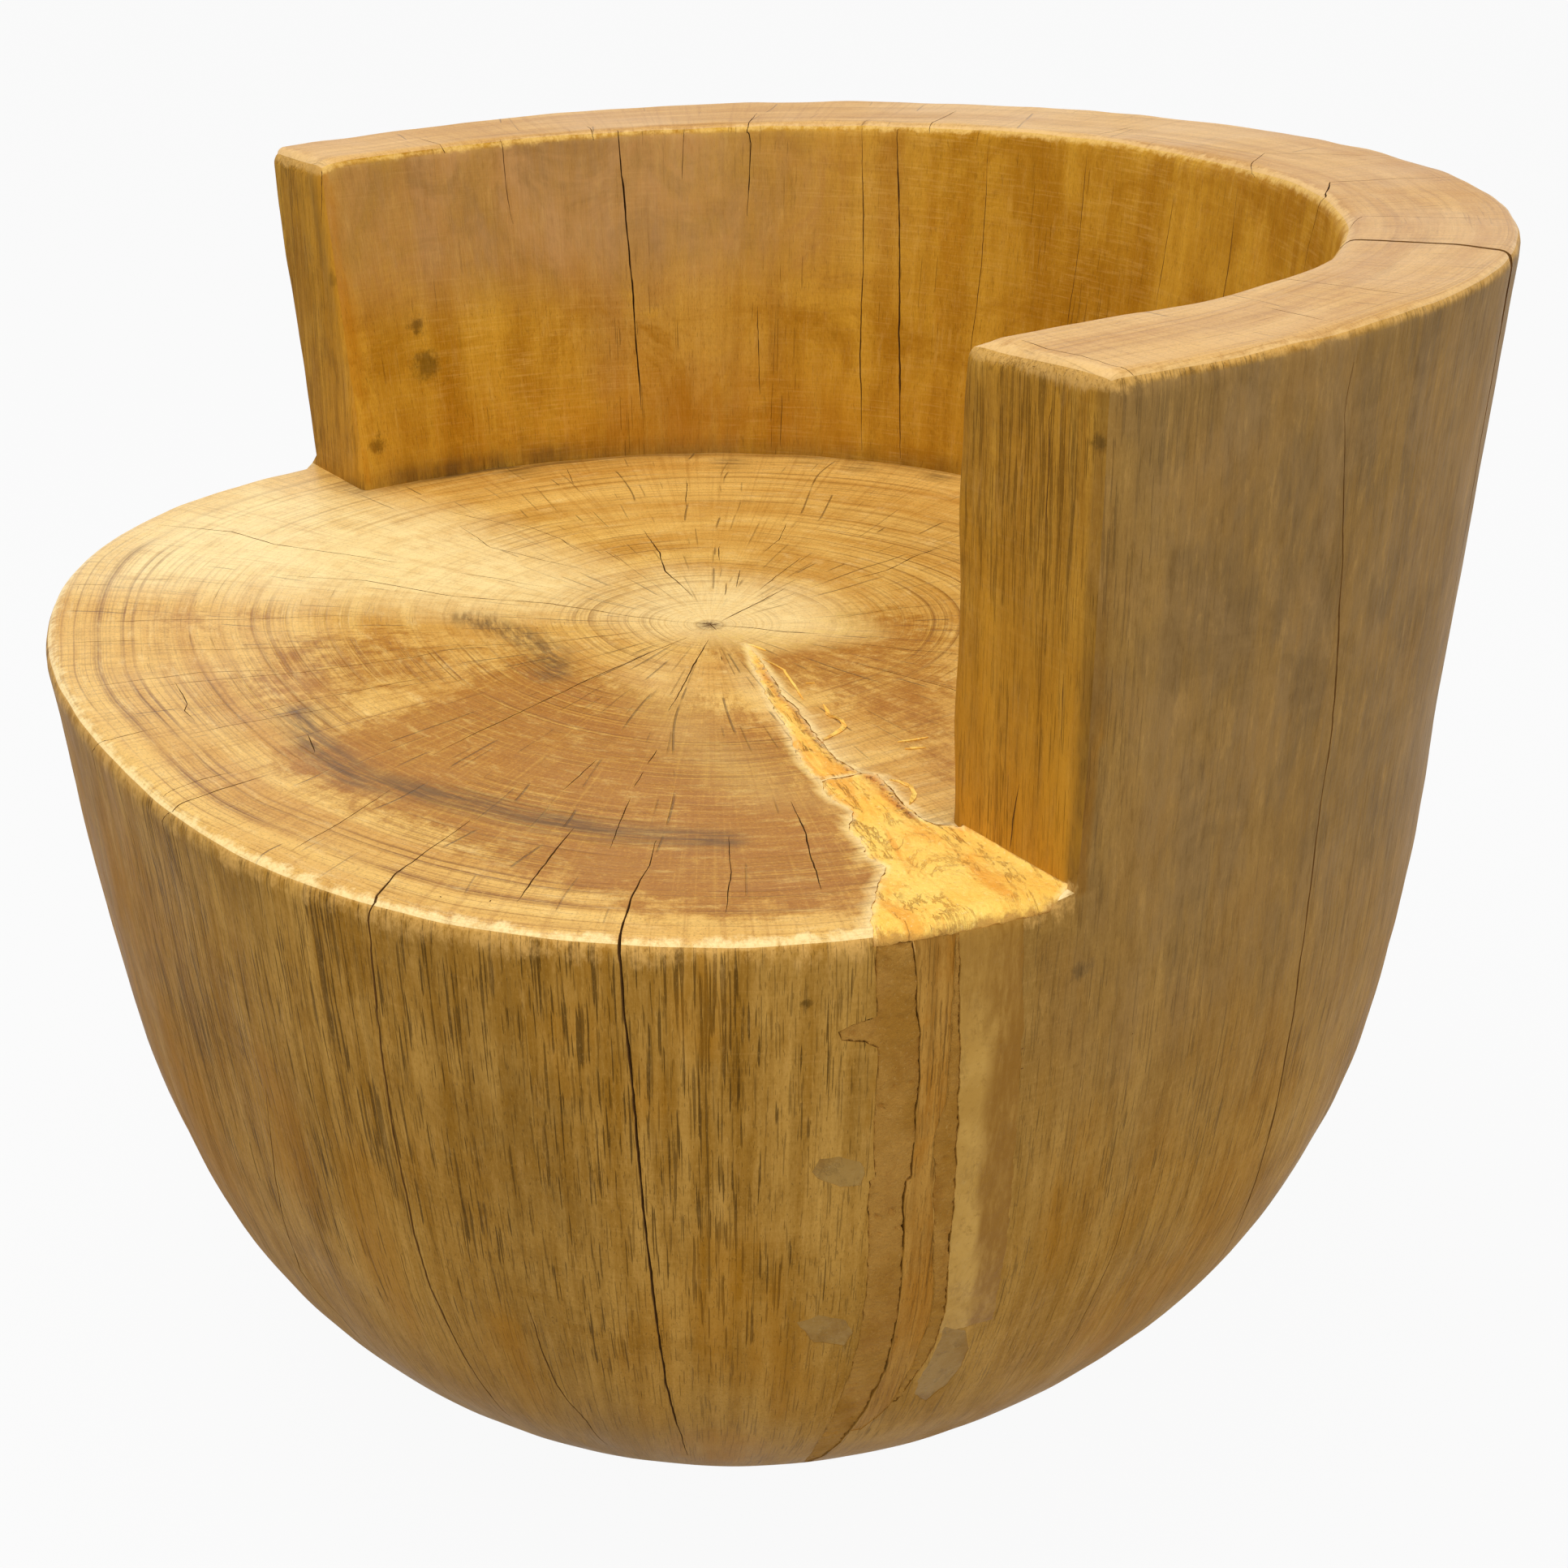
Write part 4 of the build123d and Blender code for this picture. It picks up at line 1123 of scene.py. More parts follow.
def speckle(tree, vector, scale, detail=2.0, rough=0.55, distortion=0.0):
    return addNode(tree, "TexNoise", {"Vector": vector, "Scale": scale, "Detail": detail, "Roughness": rough,
                                      "Distortion": distortion}).outputs["Fac"]


def stretched(tree, vector, x, y, z, move=(0, 0, 0)):
    return addNode(tree, "Mapping", {"Vector": vector, "Scale": (x, y, z), "Location": move}).outputs[0]


def streaks(tree, place, squash, scale, detail=2.0, rough=0.55, distortion=0.0, move=(0, 0, 0)):
    # Speckle drawn out upwards
    return speckle(tree, stretched(tree, place, 1, 1, squash, move), scale, detail, rough, distortion)


def tinted(tree, amount, first, second, kind="MIX"):
    node = addNode(tree, "Mix", {0: amount, 6: first, 7: second}, data_type="RGBA", blend_type=kind)
    node.clamp_factor = True
    return node.outputs[2]


def tint(tree, colour, amount, shade):
    return tinted(tree, amount, colour, linear(*shade))


def toned(tree, colour, pattern, low, high, share, shade):
    # Lays up to a share of a shade where the pattern is past low, all of it at high
    return tint(tree, colour, spread(tree, pattern, low, high, 0, share), shade)


def shaded(shade, share):
    return [min(value * share, 255) for value in shade]


def objectPlace(tree):
    return addNode(tree, "TexCoord").outputs["Object"]


def painted(tree, name):
    return addNode(tree, "Attribute", attribute_name=name).outputs["Fac"]


def flatFrom(tree, place, centre):
    # The level way out to a place from an upright line
    away = vectors(tree, "ADD", place, (-centre[0], -centre[1], 0))
    return vectors(tree, "MULTIPLY", away, (1, 1, 0))


def joined(tree, x, y, z):
    return addNode(tree, "CombineXYZ", {0: x, 1: y, 2: z}).outputs[0]


def parts(tree, vector):
    return addNode(tree, "SeparateXYZ", {0: vector}).outputs


def heightOf(tree, place):
    return parts(tree, place)[2]


def roundPith(tree, place, ring, along, around):
    # Coordinates for a pattern on end grain: out from the pith and round it
    way = vectors(tree, "NORMALIZE", flatFrom(tree, place, pith))
    way = parts(tree, vectors(tree, "MULTIPLY", way, (around, around, 0)))
    return joined(tree, way[0], way[1], times(tree, ring, along))


def ringed(tree, place, ring, along, around, detail=2.0, rough=0.55):
    return speckle(tree, roundPith(tree, place, ring, along, around), 1, detail, rough)


def radialLines(tree, place, count, width, seed):
    # Thin straight cracks that run out from the pith, each over some stretches only
    flat = flatFrom(tree, place, pith)
    far = vectors(tree, "LENGTH", flat, result="Value")
    flat = parts(tree, flat)
    turn = times(tree, maths(tree, "ARCTAN2", flat[1], flat[0]), count / (2 * pi))
    turn = plus(tree, turn, spread(tree, speckle(tree, place, 7, 1, 0.4), 0.2, 0.8, -0.35, 0.35))
    cell = maths(tree, "FLOOR", turn)
    shift = addNode(tree, "TexWhiteNoise", {"W": plus(tree, cell, seed)}, noise_dimensions="1D")
    shift = plus(tree, times(tree, shift.outputs["Value"], 0.6), 0.2)
    off = maths(tree, "ABSOLUTE", minus(tree, minus(tree, turn, cell), shift))
    off = times(tree, times(tree, off, far), 2 * pi / count)
    line = spread(tree, off, width * 0.35, width, 1, 0)
    spot = joined(tree, times(tree, cell, 3.7), times(tree, far, 24), seed)
    where = times(tree, spread(tree, speckle(tree, spot, 1, 1), 0.55, 0.62), spread(tree, far, 0.015, 0.05))
    return times(tree, line, where)


def ringLines(tree, ring, pitch, low, high):
    lines = {"W": ring, "Scale": 1 / pitch, "Detail": 2.0, "Roughness": 0.6}
    lines = addNode(tree, "TexNoise", lines, noise_dimensions="1D")
    return spread(tree, lines.outputs["Fac"], low, high)


def wornEdges(tree, place, colour, pale):
    torn = streaks(tree, place, 0.5, 120, 6, 0.75)
    worn = plus(tree, painted(tree, "worn"), spread(tree, torn, 0.25, 0.75, -0.42, 0.34))
    worn = times(tree, spread(tree, worn, 0.30, 0.85), spread(tree, painted(tree, "worn"), 0.0, 0.2))
    worn = times(tree, worn, spread(tree, speckle(tree, place, 520, 3, 0.7), 0.25, 0.6, 0.38, 0.82))
    return tinted(tree, worn, colour, linear(*pale))


def newMaterial(name):
    material = bpy.data.materials.new(name)
    material.use_nodes = True
    material.node_tree.nodes.clear()
    return material, material.node_tree


def finishMaterial(tree, colour, rough, height, depth, coat=0.0, coatRough=0.25, specular=0.25):
    bump = addNode(tree, "Bump", {"Height": height, "Distance": depth, "Strength": 1.0}).outputs[0]
    shader = addNode(tree, "BsdfPrincipled", {
        "Base Color": colour, "Roughness": rough, "Normal": bump, "Specular IOR Level": specular,
        "Coat Weight": coat, "Coat Roughness": coatRough})
    addNode(tree, "OutputMaterial", {0: shader.outputs[0]})


# Long grain: the sides, the inner wall, the arm ends and the sliver
longGrain = {
    "log_side": {
        "light": (210, 161, 79), "dark": (156, 108, 30), "orange": (182, 120, 20), "grey": (140, 106, 50),
        "pale": (226, 176, 98), "sheenShadeAndGrey": (142, 114, 75), "pore": (62, 42, 16), "pores": 0.64,
        "poreAmount": 0.72, "tone": 110, "mottle": 0.55, "hairs": 0.30, "sanding": 0.12, "blotch": 0.50,
        "rough": (0.38, 0.54), "specular": 0.025, "patch": 11, "orangeShare": 0.5, "greyShare": 0.5,
        "round": True, "knots": (("side", -6.7, 351, 0.0055), ("side", -25, 360, 0.0028)),
    },
    "inner_wall": {
        "light": (208, 157, 50), "dark": (164, 110, 16), "orange": (178, 110, 4), "grey": (176, 134, 72),
        "pale": (232, 190, 108), "sheenShadeAndGrey": (172, 134, 88), "pore": (110, 68, 18), "pores": 0.76,
        "poreAmount": 0.4, "tone": 34, "mottle": 0.35, "hairs": 0.10, "sanding": 0.24, "blotch": 0.80,
        "rough": (0.38, 0.52), "specular": 0.05, "patch": 9, "orangeShare": 0.5, "greyShare": 0.45,
        "round": True,
        "knots": (("wall", 180, 449, 0.011), ("wall", 180.5, 471, 0.006), ("wall", 187.5, 410, 0.006)),
    },
    "arm_end": {
        "light": (206, 154, 60), "dark": (160, 110, 34), "orange": (212, 150, 40), "grey": (138, 104, 48),
        "pale": (212, 166, 94), "sheenShadeAndGrey": (122, 92, 50), "pore": (80, 52, 18), "pores": 0.635,
        "poreAmount": 0.5, "tone": 120, "mottle": 0.5, "hairs": 0.35, "sanding": 0.12, "blotch": 0.5,
        "rough": (0.46, 0.60), "specular": 0.02, "patch": 14, "orangeShare": 0.4, "greyShare": 0.5,
        "round": False, "knots": (("arm", 343, 559, 0.005), ("arm", -305, 500, 0.006)),
    },
    "sliver_wood_grain": {
        "light": (206, 154, 72), "dark": (158, 106, 34), "orange": (188, 122, 30), "grey": (134, 100, 46),
        "pale": (208, 160, 88), "sheenShadeAndGrey": (122, 92, 50), "pore": (62, 40, 12), "pores": 0.64, "poreAmount": 0.5,
        "tone": 260, "mottle": 0.5, "hairs": 0.3, "sanding": 0.0, "blotch": 0.25, "rough": (0.48, 0.62),
        "specular": 0.07, "patch": 20, "orangeShare": 0.6, "greyShare": 0.5, "round": True, "knots": (),
    },
}


def roundLog(tree, place):
    # Coordinates for grain that runs up the log's surface: round it and up, in metres
    way = parts(tree, vectors(tree, "NORMALIZE", flatFrom(tree, place, seatCentre)))
    x, y = [times(tree, part, seatRadius) for part in way[:2]]
    return joined(tree, x, y, heightOf(tree, place))


def dashes(tree, grain, width, length, where, low, move):
    # Upright dashes: width and length in metres, more of them where the patch is high
    pattern = streaks(tree, grain, width / length, 0.55 / width, 1, 0.5, move=move)
    return spread(tree, plus(tree, pattern, where), low, low + 0.06)


def makeLongGrain(name):
    look = longGrain[name]
    material, tree = newMaterial(name)
    place = objectPlace(tree)
    grain = roundLog(tree, place) if look["round"] else place
    # Broad streaks, patches of orange and of grey, blotches
    tone = streaks(tree, grain, 0.06, look["tone"], 5, 0.65)
    high = heightOf(tree, place)
    calm = minus(tree, 1.0, times(tree, painted(tree, "sheenShadeAndGrey"), 0.7))
    streaky = times(tree, spread(tree, high, 0.06, 0.24, 0.2, 1), calm)      # the low bowl is smoother
    tone = plus(tree, times(tree, minus(tree, tone, 0.5), streaky), 0.5)
    colour = tinted(tree, spread(tree, tone, 0.26, 0.74), linear(*look["light"]), linear(*look["dark"]))
    cloud = streaks(tree, grain, 0.45, look["patch"], 5, 0.65, 0.3)
    oranges = times(tree, spread(tree, cloud, 0.53, 0.66, 0, look["orangeShare"]), streaky)
    colour = tint(tree, colour, oranges, look["orange"])
    greys = streaks(tree, grain, 0.4, look["patch"] * 0.8, 4, 0.6, 0.3, (3.1, 1.7, 0.4))
    colour = toned(tree, colour, greys, 0.50, 0.68, look["greyShare"], look["grey"])
    wide = streaks(tree, place, 0.6, 8, 4, 0.6, 1.0, (4.2, 0.6, 1.9))
    colour = toned(tree, colour, wide, 0.50, 0.66, look["blotch"] * 0.8, look["dark"])
    colour = toned(tree, colour, wide, 0.46, 0.32, look["blotch"] * 0.6, look["light"])
    blotch = streaks(tree, place, 1, 17, 6, 0.7, 0.8, (0.7, 2.9, 1.1))
    colour = toned(tree, colour, blotch, 0.48, 0.66, look["blotch"], look["dark"])
    colour = toned(tree, colour, blotch, 0.48, 0.32, look["blotch"] * 0.7, look["light"])
    # Fine hairlines of the grain
    lines = streaks(tree, grain, 0.008, 620, 2, 0.6)
    linePatch = spread(tree, streaks(tree, grain, 0.4, 16, 4, 0.6), 0.38, 0.60, 0.3, 1)
    linePatch = times(tree, linePatch, streaky)
    hairs = times(tree, spread(tree, lines, 0.52, 0.68, 0, look["hairs"]), linePatch)
    colour = tint(tree, colour, hairs, look["grey"])
    hairs = times(tree, spread(tree, lines, 0.46, 0.32, 0, look["hairs"] * 0.8), linePatch)
    colour = tint(tree, colour, hairs, look["light"])
    # Marks of sanding across the grain
    sanding = speckle(tree, stretched(tree, grain, 0.05, 0.05, 1), 750, 4, 0.65)
    sandPatch = spread(tree, speckle(tree, place, 11, 3), 0.38, 0.62, 0.3, 1)
    swipes = speckle(tree, stretched(tree, grain, 0.16, 0.16, 1, (1.2, 0.3, 0.8)), 62, 5, 0.7)
    colour = toned(tree, colour, swipes, 0.54, 0.70, look["sanding"] * 1.6, look["dark"])
    for start, end, shade in ((0.48, 0.70, "pale"), (0.46, 0.30, "dark")):
        scratches = times(tree, spread(tree, sanding, start, end, 0, look["sanding"]), sandPatch)
        colour = tint(tree, colour, scratches, look[shade])
    # Pores: thin dashes in clusters up the side, and dots where the bowl cuts across the grain
    cluster = streaks(tree, grain, 0.35, 17, 5, 0.72)
    upper = spread(tree, high, 0.10, 0.25, -0.14, 0)
    where = plus(tree, spread(tree, cluster, 0.36, 0.64, -0.12, 0.085), upper)
    pore = dashes(tree, grain, 0.00055, 0.020, where, look["pores"], (0, 0, 0))
    wider = dashes(tree, grain, 0.00095, 0.034, where, look["pores"] + 0.035, (2.3, 0.7, 0))
    finer = dashes(tree, grain, 0.0004, 0.012, 0.0, look["pores"] - 0.01, (5.1, 1.3, 0))
    pore = larger(tree, larger(tree, pore, times(tree, wider, 0.8)), times(tree, finer, 0.5))
    dots = spread(tree, streaks(tree, place, 0.06, 1500, 1, 0.5), 0.66, 0.74, 0, 0.4)
    pore = times(tree, larger(tree, pore, dots), calm)
    colour = tint(tree, colour, times(tree, pore, look["poreAmount"]), look["pore"])
    grit = streaks(tree, place, 0.4, 1100, 3, 0.75)
    colour = toned(tree, colour, grit, 0.48, 0.72, 0.42, look["dark"])
    colour = toned(tree, colour, grit, 0.46, 0.26, 0.42, look["light"])
    for *knotPlace, size in look["knots"]:
        far = vectors(tree, "DISTANCE", place, placeOn(*knotPlace), "Value")
        wobble = spread(tree, speckle(tree, place, 0.9 / size, 5, 0.75), 0.2, 0.8, -size * 0.6, size * 0.6)
        knot = spread(tree, plus(tree, far, wobble), size * 0.2, size * 1.1, 0.7, 0)
        colour = tint(tree, colour, knot, shaded(look["dark"], 0.55))
    torn = spread(tree, streaks(tree, grain, 0.3, 60, 4, 0.7), 0.3, 0.7, 0.45, 1.25)
    # Painted sheen, grey tone and, low on the bowl, painted shade, laid from the painted layer
    sheenShadeAndGrey = times(tree, painted(tree, "sheenShadeAndGrey"), spread(tree, torn, 0.45, 1.25, 0.75, 1.1))
    sheenShadeAndGreyColour = spread(tree, blotch, 0.34, 0.66)
    sheenShadeAndGreyColour = tint(tree, linear(*shaded(look["sheenShadeAndGrey"], 0.87)), sheenShadeAndGreyColour, shaded(look["sheenShadeAndGrey"], 1.13))
    colour = tinted(tree, times(tree, sheenShadeAndGrey, 0.74), colour, sheenShadeAndGreyColour)
    mottle = streaks(tree, grain, 0.20, 190, 6, 0.78, move=(6.3, 2.2, 0.9))
    darker = spread(tree, mottle, 0.50, 0.70, 0, look["mottle"])
    colour = tinted(tree, darker, colour, (0.60, 0.56, 0.48, 1), "MULTIPLY")
    colour = toned(tree, colour, mottle, 0.48, 0.30, look["mottle"] * 0.45, look["pale"])
    # Orange patches, with painted bounce light low on the right arm and painted shade on the bowl's left
    broken = spread(tree, streaks(tree, grain, 0.2, 70, 4, 0.7), 0.35, 0.62, 0.2, 1.1)
    glow = times(tree, painted(tree, "glow"), broken)
    colour = tint(tree, colour, times(tree, glow, 0.5), look["orange"])
    # Dark marks, with painted shade where the wall meets the seat, in gaps and at the foot
    darkMarksAndShade = times(tree, painted(tree, "darkMarksAndShade"), torn)
    colour = tint(tree, colour, times(tree, darkMarksAndShade, 0.75), (96, 66, 32))
    colour = wornEdges(tree, place, colour, look["pale"])
    rough = spread(tree, cloud, 0.3, 0.7, *look["rough"])
    fibres = times(tree, spread(tree, lines, 0.3, 0.7), 0.25)
    dents = times(tree, speckle(tree, place, 45, 2), 0.8)
    height = minus(tree, plus(tree, fibres, dents), pore)
    finishMaterial(tree, colour, rough, height, 0.0004, specular=look["specular"])
    return material


# End grain: the seat, the sawn top and the foot
endGrain = {
    "seat_grain": {
        "light": (236, 190, 100), "mid": (204, 148, 60), "brown": (160, 99, 8), "pale": (255, 227, 160),
        "line": (136, 86, 20), "dark": (84, 56, 22), "rings": 0.65, "scratches": 0.5, "checks": 0.85,
        "rough": (0.34, 0.48), "coat": 0.05, "specular": 0.30,
    },
    "top_grain": {
        "light": (218, 172, 100), "mid": (192, 140, 68), "brown": (168, 114, 44), "pale": (228, 186, 118),
        "line": (146, 98, 40), "dark": (104, 74, 38), "rings": 0.22, "scratches": 0.35, "checks": 0.7,
        "rough": (0.38, 0.52), "coat": 0.03, "specular": 0.25,
    },
    "foot_grain": {
        "light": (176, 134, 76), "mid": (150, 110, 56), "brown": (126, 88, 42), "pale": (190, 150, 92),
        "line": (104, 72, 32), "dark": (84, 60, 32), "rings": 0.7, "scratches": 0.6, "checks": 0.8,
        "rough": (0.6, 0.8), "coat": 0.0, "specular": 0.1,
    },
}


def makeEndGrain(name):
    look = endGrain[name]
    material, tree = newMaterial(name)
    place = objectPlace(tree)
    ring = painted(tree, "ring")
    wave = spread(tree, speckle(tree, place, 7, 1), 0.2, 0.8, -0.003, 0.003)
    ring = plus(tree, ring, times(tree, wave, spread(tree, ring, 0.0, 0.12)))
    broad = ringed(tree, place, ring, 42, 0.9, 4, 0.65)
    colour = tinted(tree, spread(tree, broad, 0.34, 0.66), linear(*look["light"]), linear(*look["mid"]))
    cloud = speckle(tree, place, 7, 4, 0.6, 0.5)
    colour = toned(tree, colour, cloud, 0.52, 0.72, 0.55, look["mid"])
    # Brown stain with edges torn along the rings and the rays
    torn = ringed(tree, place, ring, 70, 18, 6, 0.78)
    stain = plus(tree, painted(tree, "stain"), spread(tree, torn, 0.28, 0.72, -0.42, 0.38))
    stain = times(tree, spread(tree, stain, 0.10, 0.85), spread(tree, painted(tree, "stain"), 0.0, 0.3))
    colour = tint(tree, colour, times(tree, stain, 0.85), look["brown"])
    # Pale places, with a painted sheen on the seat's left and round the pith
    light = times(tree, painted(tree, "light"), spread(tree, torn, 0.3, 0.7, 0.5, 1.1))
    colour = tint(tree, colour, times(tree, light, 0.9), look["pale"])
    # Growth rings
    bands = ringLines(tree, ring, 0.0042, 0.54, 0.66)
    fineBands = ringLines(tree, ring, 0.0016, 0.52, 0.62)
    where = spread(tree, speckle(tree, place, 12, 2), 0.40, 0.60, 0.2, 0.8)
    where = plus(tree, where, spread(tree, ring, 0.20, 0.27, 0, 0.15))
    bands = times(tree, plus(tree, times(tree, fineBands, 0.6), bands), where)
    colour = tint(tree, colour, times(tree, bands, look["rings"], True), look["line"])
    pales = ringLines(tree, plus(tree, ring, 0.37), 0.0021, 0.56, 0.66)
    pales = times(tree, times(tree, pales, where), look["rings"] * 0.7, True)
    colour = tint(tree, colour, pales, look["light"])
    # Rays, and hairline checks along them
    rays = ringed(tree, place, ring, 9, 130, 3, 0.65)
    colour = toned(tree, colour, rays, 0.48, 0.70, 0.34, look["brown"])
    colour = toned(tree, colour, rays, 0.46, 0.30, 0.2, look["light"])
    hair = times(tree, radialLines(tree, place, 90, 0.0005, 8.1), 0.45)
    hair = larger(tree, hair, times(tree, radialLines(tree, place, 44, 0.0006, 3.3), 0.8))
    colour = tint(tree, colour, times(tree, hair, look["checks"]), look["dark"])
    # Marks of the plane, along the rings, light and dark
    marks = ringed(tree, place, ring, 900, 7, 2, 0.6)
    markPatch = spread(tree, ringed(tree, place, ring, 30, 4, 3), 0.42, 0.66)
    darkMarks = times(tree, spread(tree, marks, 0.62, 0.74), markPatch)
    paleMarks = times(tree, spread(tree, marks, 0.40, 0.28), markPatch)
    colour = tint(tree, colour, times(tree, darkMarks, look["scratches"]), look["line"])
    colour = tint(tree, colour, times(tree, paleMarks, look["scratches"] * 0.4), look["pale"])
    mottle = ringed(tree, place, ring, 170, 11, 6, 0.76)
    colour = tinted(tree, spread(tree, mottle, 0.50, 0.70, 0, 0.5), colour, (0.72, 0.66, 0.55, 1), "MULTIPLY")
    colour = toned(tree, colour, mottle, 0.48, 0.30, 0.3, look["pale"])
    grit = speckle(tree, place, 900, 3, 0.75)
    colour = toned(tree, colour, grit, 0.50, 0.72, 0.5, look["line"])
    colour = toned(tree, colour, grit, 0.48, 0.26, 0.35, look["light"])
    # More of the pale places and their painted sheen
    colour = tint(tree, colour, times(tree, light, 0.40), look["pale"])
    colour = tinted(tree, times(tree, stain, 0.85), colour, (0.99, 0.93, 0.56, 1), "MULTIPLY")
    # Dark marks of the pith and arcs, with painted shade in the crease where the wall meets the seat and at
    # the foot
    smear = spread(tree, ringed(tree, place, ring, 240, 5, 4, 0.75), 0.32, 0.62, 0.1, 1.2)
    darkMarksAndShade = times(tree, painted(tree, "darkMarksAndShade"), smear)
    colour = tint(tree, colour, times(tree, darkMarksAndShade, 0.8), look["dark"])
    colour = wornEdges(tree, place, colour, look["pale"])
    rough = spread(tree, cloud, 0.3, 0.7, *look["rough"])
    height = plus(tree, times(tree, bands, -0.35), times(tree, speckle(tree, place, 45, 2), 0.8))
    height = minus(tree, height, plus(tree, hair, times(tree, darkMarks, 0.4)))
    finishMaterial(tree, colour, rough, height, 0.0004, look["coat"], 0.22, look["specular"])
    return material


def makeCheckWood(name):
    material, tree = newMaterial(name)
    place = objectPlace(tree)
    grain = speckle(tree, place, 300, 3, 0.7)
    colour = tinted(tree, grain, linear(150, 104, 48), linear(104, 70, 30))
    finishMaterial(tree, colour, spread(tree, grain, 0.2, 0.8, 0.7, 0.9), grain, 0.0003)
    return material


# Fillings
fillers = {
    "golden_filler": {"base": (255, 214, 108), "second": (254, 198, 86), "fans": True,
        "smear": (234, 156, 54), "smears": 0.68, "line": (196, 122, 40), "lines": 0.5,
        "pale": (255, 232, 166), "rough": (0.42, 0.6), "bump": 0.0006, "grit": 500},
    "rough_filler": {"base": (188, 138, 62), "second": (170, 120, 44), "fans": False, "smear": (158, 104, 38),
        "smears": 0.4, "line": (120, 80, 30), "lines": 0.05, "pale": (206, 160, 90), "rough": (0.7, 0.88),
        "bump": 0.0009, "grit": 700},
    "smooth_filler": {"base": (210, 164, 82), "second": (194, 148, 68), "fans": False,
        "smear": (160, 116, 46), "smears": 0.4, "line": (110, 76, 28), "lines": 0.2, "pale": (208, 166, 92),
        "rough": (0.34, 0.46), "bump": 0.0002, "grit": 300},
    "grey_filler": {"base": (174, 136, 70), "second": (160, 118, 50), "fans": False, "smear": (146, 104, 44),
        "smears": 0.6, "line": (96, 70, 30), "lines": 0.3, "pale": (184, 152, 94), "rough": (0.4, 0.55),
        "bump": 0.0003, "grit": 400},
}


def makeFiller(name):
    look = fillers[name]
    material, tree = newMaterial(name + "_look")
    place = objectPlace(tree)
    cloud = speckle(tree, place, 26, 4, 0.6, 0.6)
    colour = tinted(tree, spread(tree, cloud, 0.38, 0.64), linear(*look["base"]), linear(*look["second"]))
    # Smears and thin lines that flow along the filling, out to the rim
    if look["fans"]:
        fromPith = vectors(tree, "ADD", place, (-pith[0], -pith[1], 0))
        outwards = vectors(tree, "LENGTH", fromPith, result="Value")
        flowing = roundPith(tree, place, outwards, 26, 16)
    else:
        flowing = stretched(tree, place, 60, 60, 20)
    flow = speckle(tree, flowing, 1.0, 6, 0.7, 0.9)
    colour = toned(tree, colour, flow, 0.48, 0.64, look["smears"], look["smear"])
    thread = maths(tree, "ABSOLUTE", minus(tree, speckle(tree, flowing, 0.8, 7, 0.72, 0.6), 0.5))
    veinPatch = spread(tree, speckle(tree, place, 45, 4, 0.7), 0.42, 0.60)
    vein = times(tree, spread(tree, thread, 0.002, 0.020, 1, 0), veinPatch)
    colour = tint(tree, colour, times(tree, vein, look["lines"]), look["line"])
    grit = speckle(tree, place, look["grit"], 3, 0.7)
    colour = toned(tree, colour, grit, 0.54, 0.74, 0.5, look["smear"])
    colour = toned(tree, colour, grit, 0.44, 0.26, 0.5, look["pale"])
    broken = spread(tree, speckle(tree, place, 190, 4, 0.75), 0.32, 0.62, 0.1, 1.2)
    pitted = times(tree, painted(tree, "pitted"), broken)
    colour = tint(tree, colour, times(tree, pitted, 0.75, True), (196, 122, 48))
    specks = times(tree, painted(tree, "pitted"), spread(tree, speckle(tree, place, 420, 2, 0.6), 0.56, 0.66))
    colour = tint(tree, colour, times(tree, specks, 0.8), (112, 62, 20))
    fringe = times(tree, painted(tree, "fringe"), broken)
    colour = tint(tree, colour, times(tree, fringe, 0.5, True), (255, 234, 172))
    stained = spread(tree, streaks(tree, place, 0.15, 160, 4, 0.7), 0.3, 0.6, 0.5, 1)
    stained = times(tree, painted(tree, "stain"), stained)
    colour = tint(tree, colour, times(tree, stained, 0.85), (147, 99, 26))
    if look["fans"]:
        low = spread(tree, speckle(tree, place, 130, 4, 0.7), 0.2, 0.8, -0.003, 0.003)
        low = plus(tree, heightOf(tree, place), low)
        low = spread(tree, low, seatHeight - 0.001, seatHeight - 0.005, 0, 0.85)
        colour = tint(tree, colour, low, (196, 142, 66))
    rough = spread(tree, cloud, 0.3, 0.7, *look["rough"])
    height = minus(tree, plus(tree, grit, times(tree, cloud, 2)), times(tree, vein, look["lines"]))
    finishMaterial(tree, colour, rough, height, look["bump"], specular=0.12)
    return material


# Which of the record's finishes each node takes
slots = {
    "trunk": "varnished_wood", "wood_sliver": "sliver_wood", "smooth_filler": "smooth_filler",
    "seat_filler": "golden_filler", "vein_filler": "golden_filler", "side_filler": "rough_filler",
    "seam_filler": "rough_filler", "upper_filler_spot": "grey_filler", "lower_filler_spot": "grey_filler",
    "lens_filler_spot": "grey_filler",
}


def dressTrunk():
    for index, region in enumerate(regions):
        make = makeLongGrain if region in longGrain else makeEndGrain if region in endGrain else makeCheckWood
        trunk.material_slots[index].material = make(region)


def dressFillings():
    made = {name: makeFiller(name) for name in fillers}
    made["sliver_wood"] = makeLongGrain("sliver_wood_grain")
    for node, piece in fillings.items():
        piece.data.materials.clear()
        piece.data.materials.append(made[slots[node]])
        paintAll(piece, 0)


dressTrunk()
dressFillings()
print("materials made")

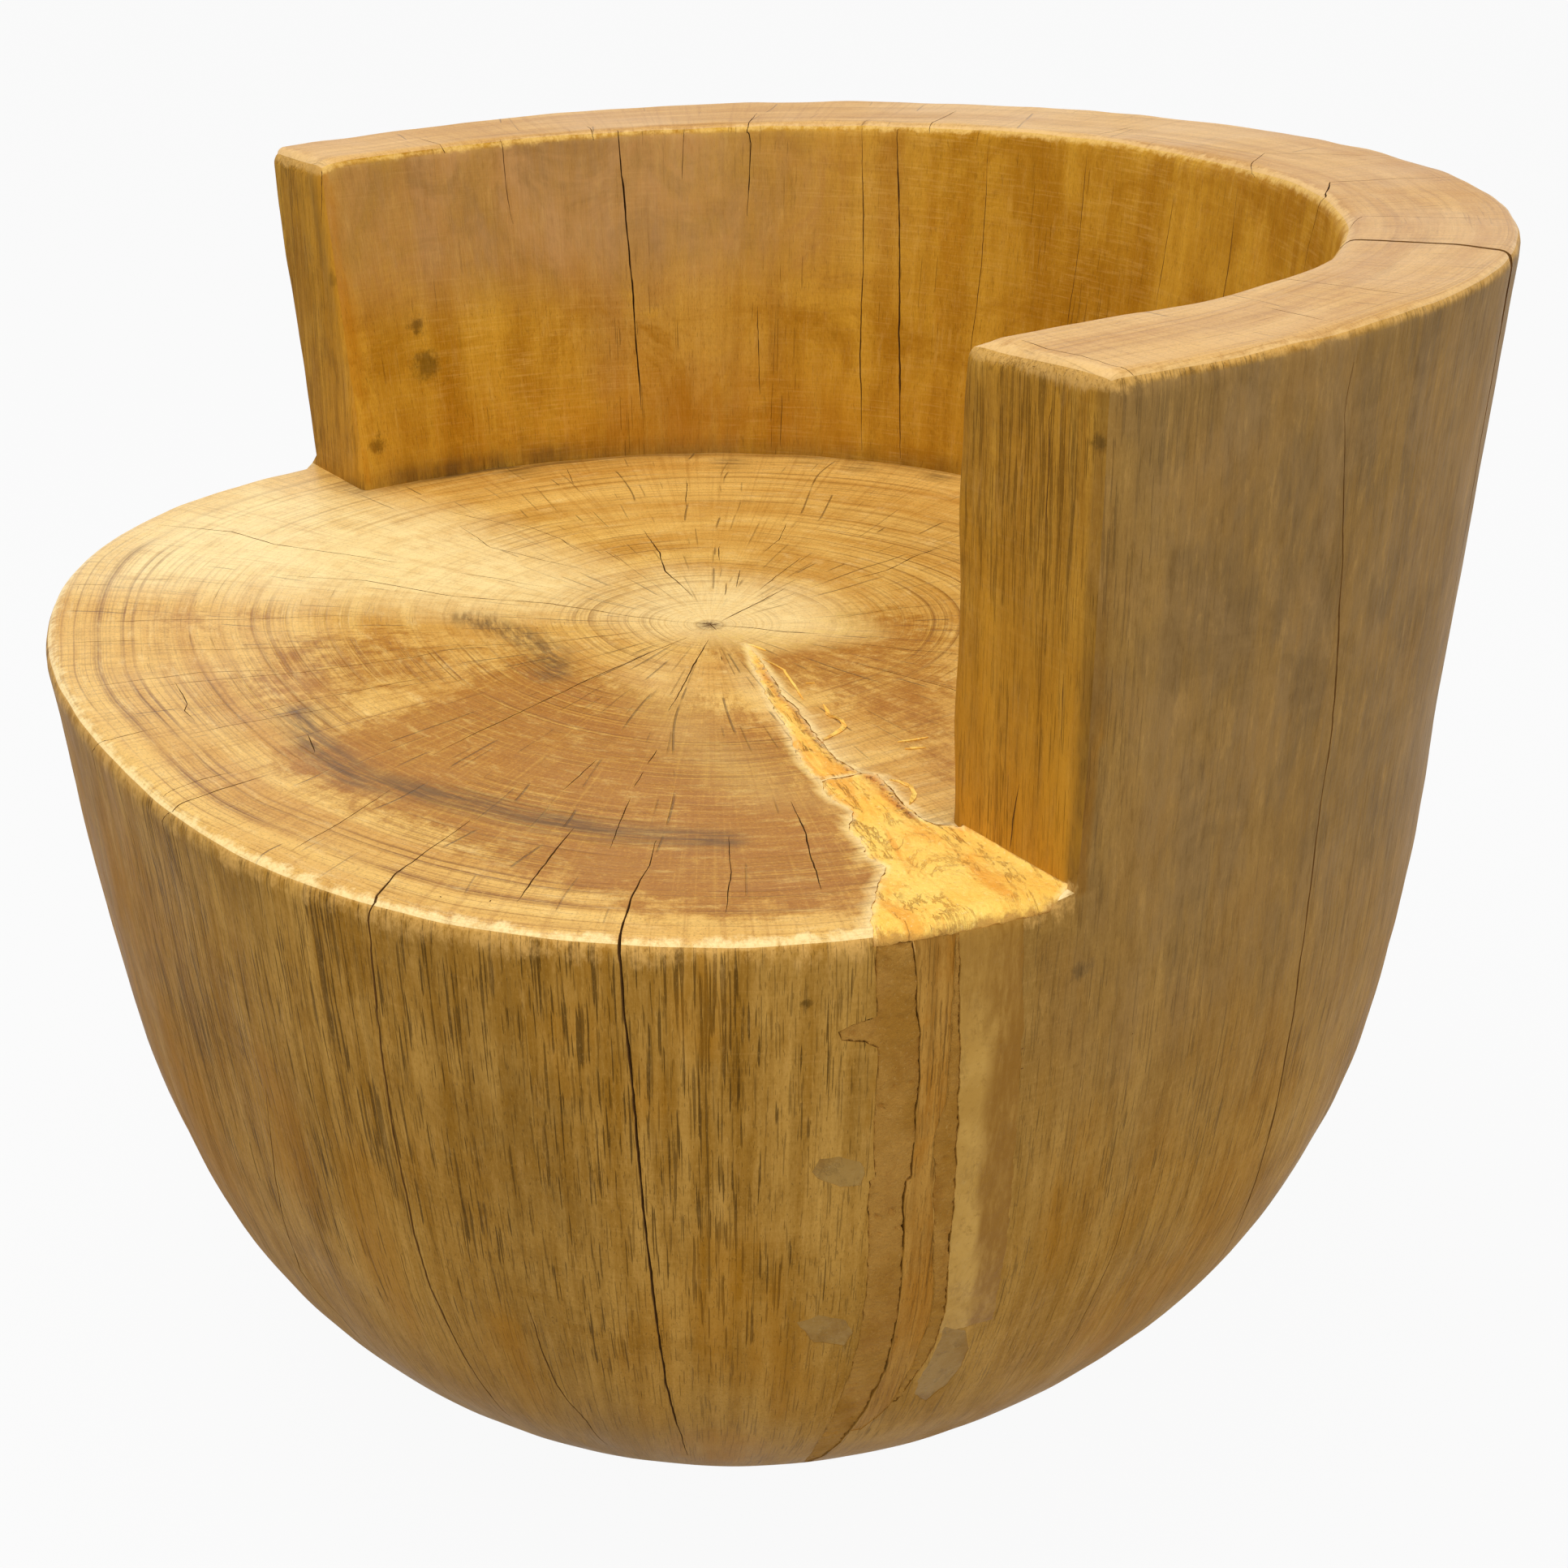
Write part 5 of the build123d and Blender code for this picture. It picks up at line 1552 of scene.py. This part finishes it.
# Studio: a pale floor and soft lamps
studio = {
    "floorSize": 40, "floorColour": (0.42, 0.42, 0.42), "floorShown": 0.94,
    "ambient": 0.44,
    "lamps": (
        {"name": "overhead", "place": (-0.1, -0.5, 2.6), "aim": (0, 0, 0.3), "size": 2.2, "power": 41},
        {"name": "front", "place": (2.6, -1.2, 1.3), "aim": (0, 0, 0.3), "size": 1.6, "power": 25},
        {"name": "behind", "place": (0.9, 2.6, 0.8), "aim": (0, 0, 0.35), "size": 1.4, "power": 11},
    ),
}


def seenRays(tree):
    # Rays from the camera, and those seen in a gloss or through glass
    rays = addNode(tree, "LightPath").outputs
    seen = larger(tree, rays["Is Camera Ray"], rays["Is Glossy Ray"])
    return larger(tree, seen, rays["Is Transmission Ray"])


def addStudio():
    bpy.ops.object.select_all(action="DESELECT")
    bpy.ops.mesh.primitive_plane_add(size=studio["floorSize"], location=(0, 0, 0))
    floor = bpy.context.object
    floor.name = "floor"
    material, tree = newMaterial("pale_floor")
    matt = addNode(tree, "BsdfDiffuse", {"Color": (*studio["floorColour"], 1)}).outputs[0]
    glow = addNode(tree, "Emission", {"Color": (1, 1, 1, 1)}).outputs[0]
    amount = times(tree, seenRays(tree), studio["floorShown"])
    mix = addNode(tree, "MixShader", {0: amount, 1: matt, 2: glow}).outputs[0]
    addNode(tree, "OutputMaterial", {0: mix})
    floor.data.materials.append(material)
    for lamp in studio["lamps"]:
        turn = (Vector(lamp["aim"]) - Vector(lamp["place"])).to_track_quat("-Z", "Y").to_euler()
        bpy.ops.object.light_add(type="AREA", location=lamp["place"], rotation=turn)
        light = bpy.context.object
        light.name = lamp["name"]
        light.data.shape = "DISK"
        light.data.size = lamp["size"]
        light.data.energy = lamp["power"]
    world = bpy.data.worlds.new("studio")
    world.use_nodes = True
    bpy.context.scene.world = world
    tree = world.node_tree
    sky = tree.nodes["Background"]
    sky.inputs["Color"].default_value = (1, 1, 1, 1)
    level = addNode(tree, "MapRange", {"Value": seenRays(tree), "To Min": studio["ambient"], "To Max": 1.0})
    tree.links.new(level.outputs[0], sky.inputs["Strength"])
    bpy.context.scene.view_settings.view_transform = "Standard"


addStudio()
print("studio set")

for node, piece in {"trunk": trunk, **fillings}.items():
    selectOnly(piece)
    bpy.ops.object.shade_smooth_by_angle(angle=radians(35))
    piece.name = "trunk_wood" if node == "trunk" else node + "_piece"
    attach(piece, "root")
    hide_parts(node)
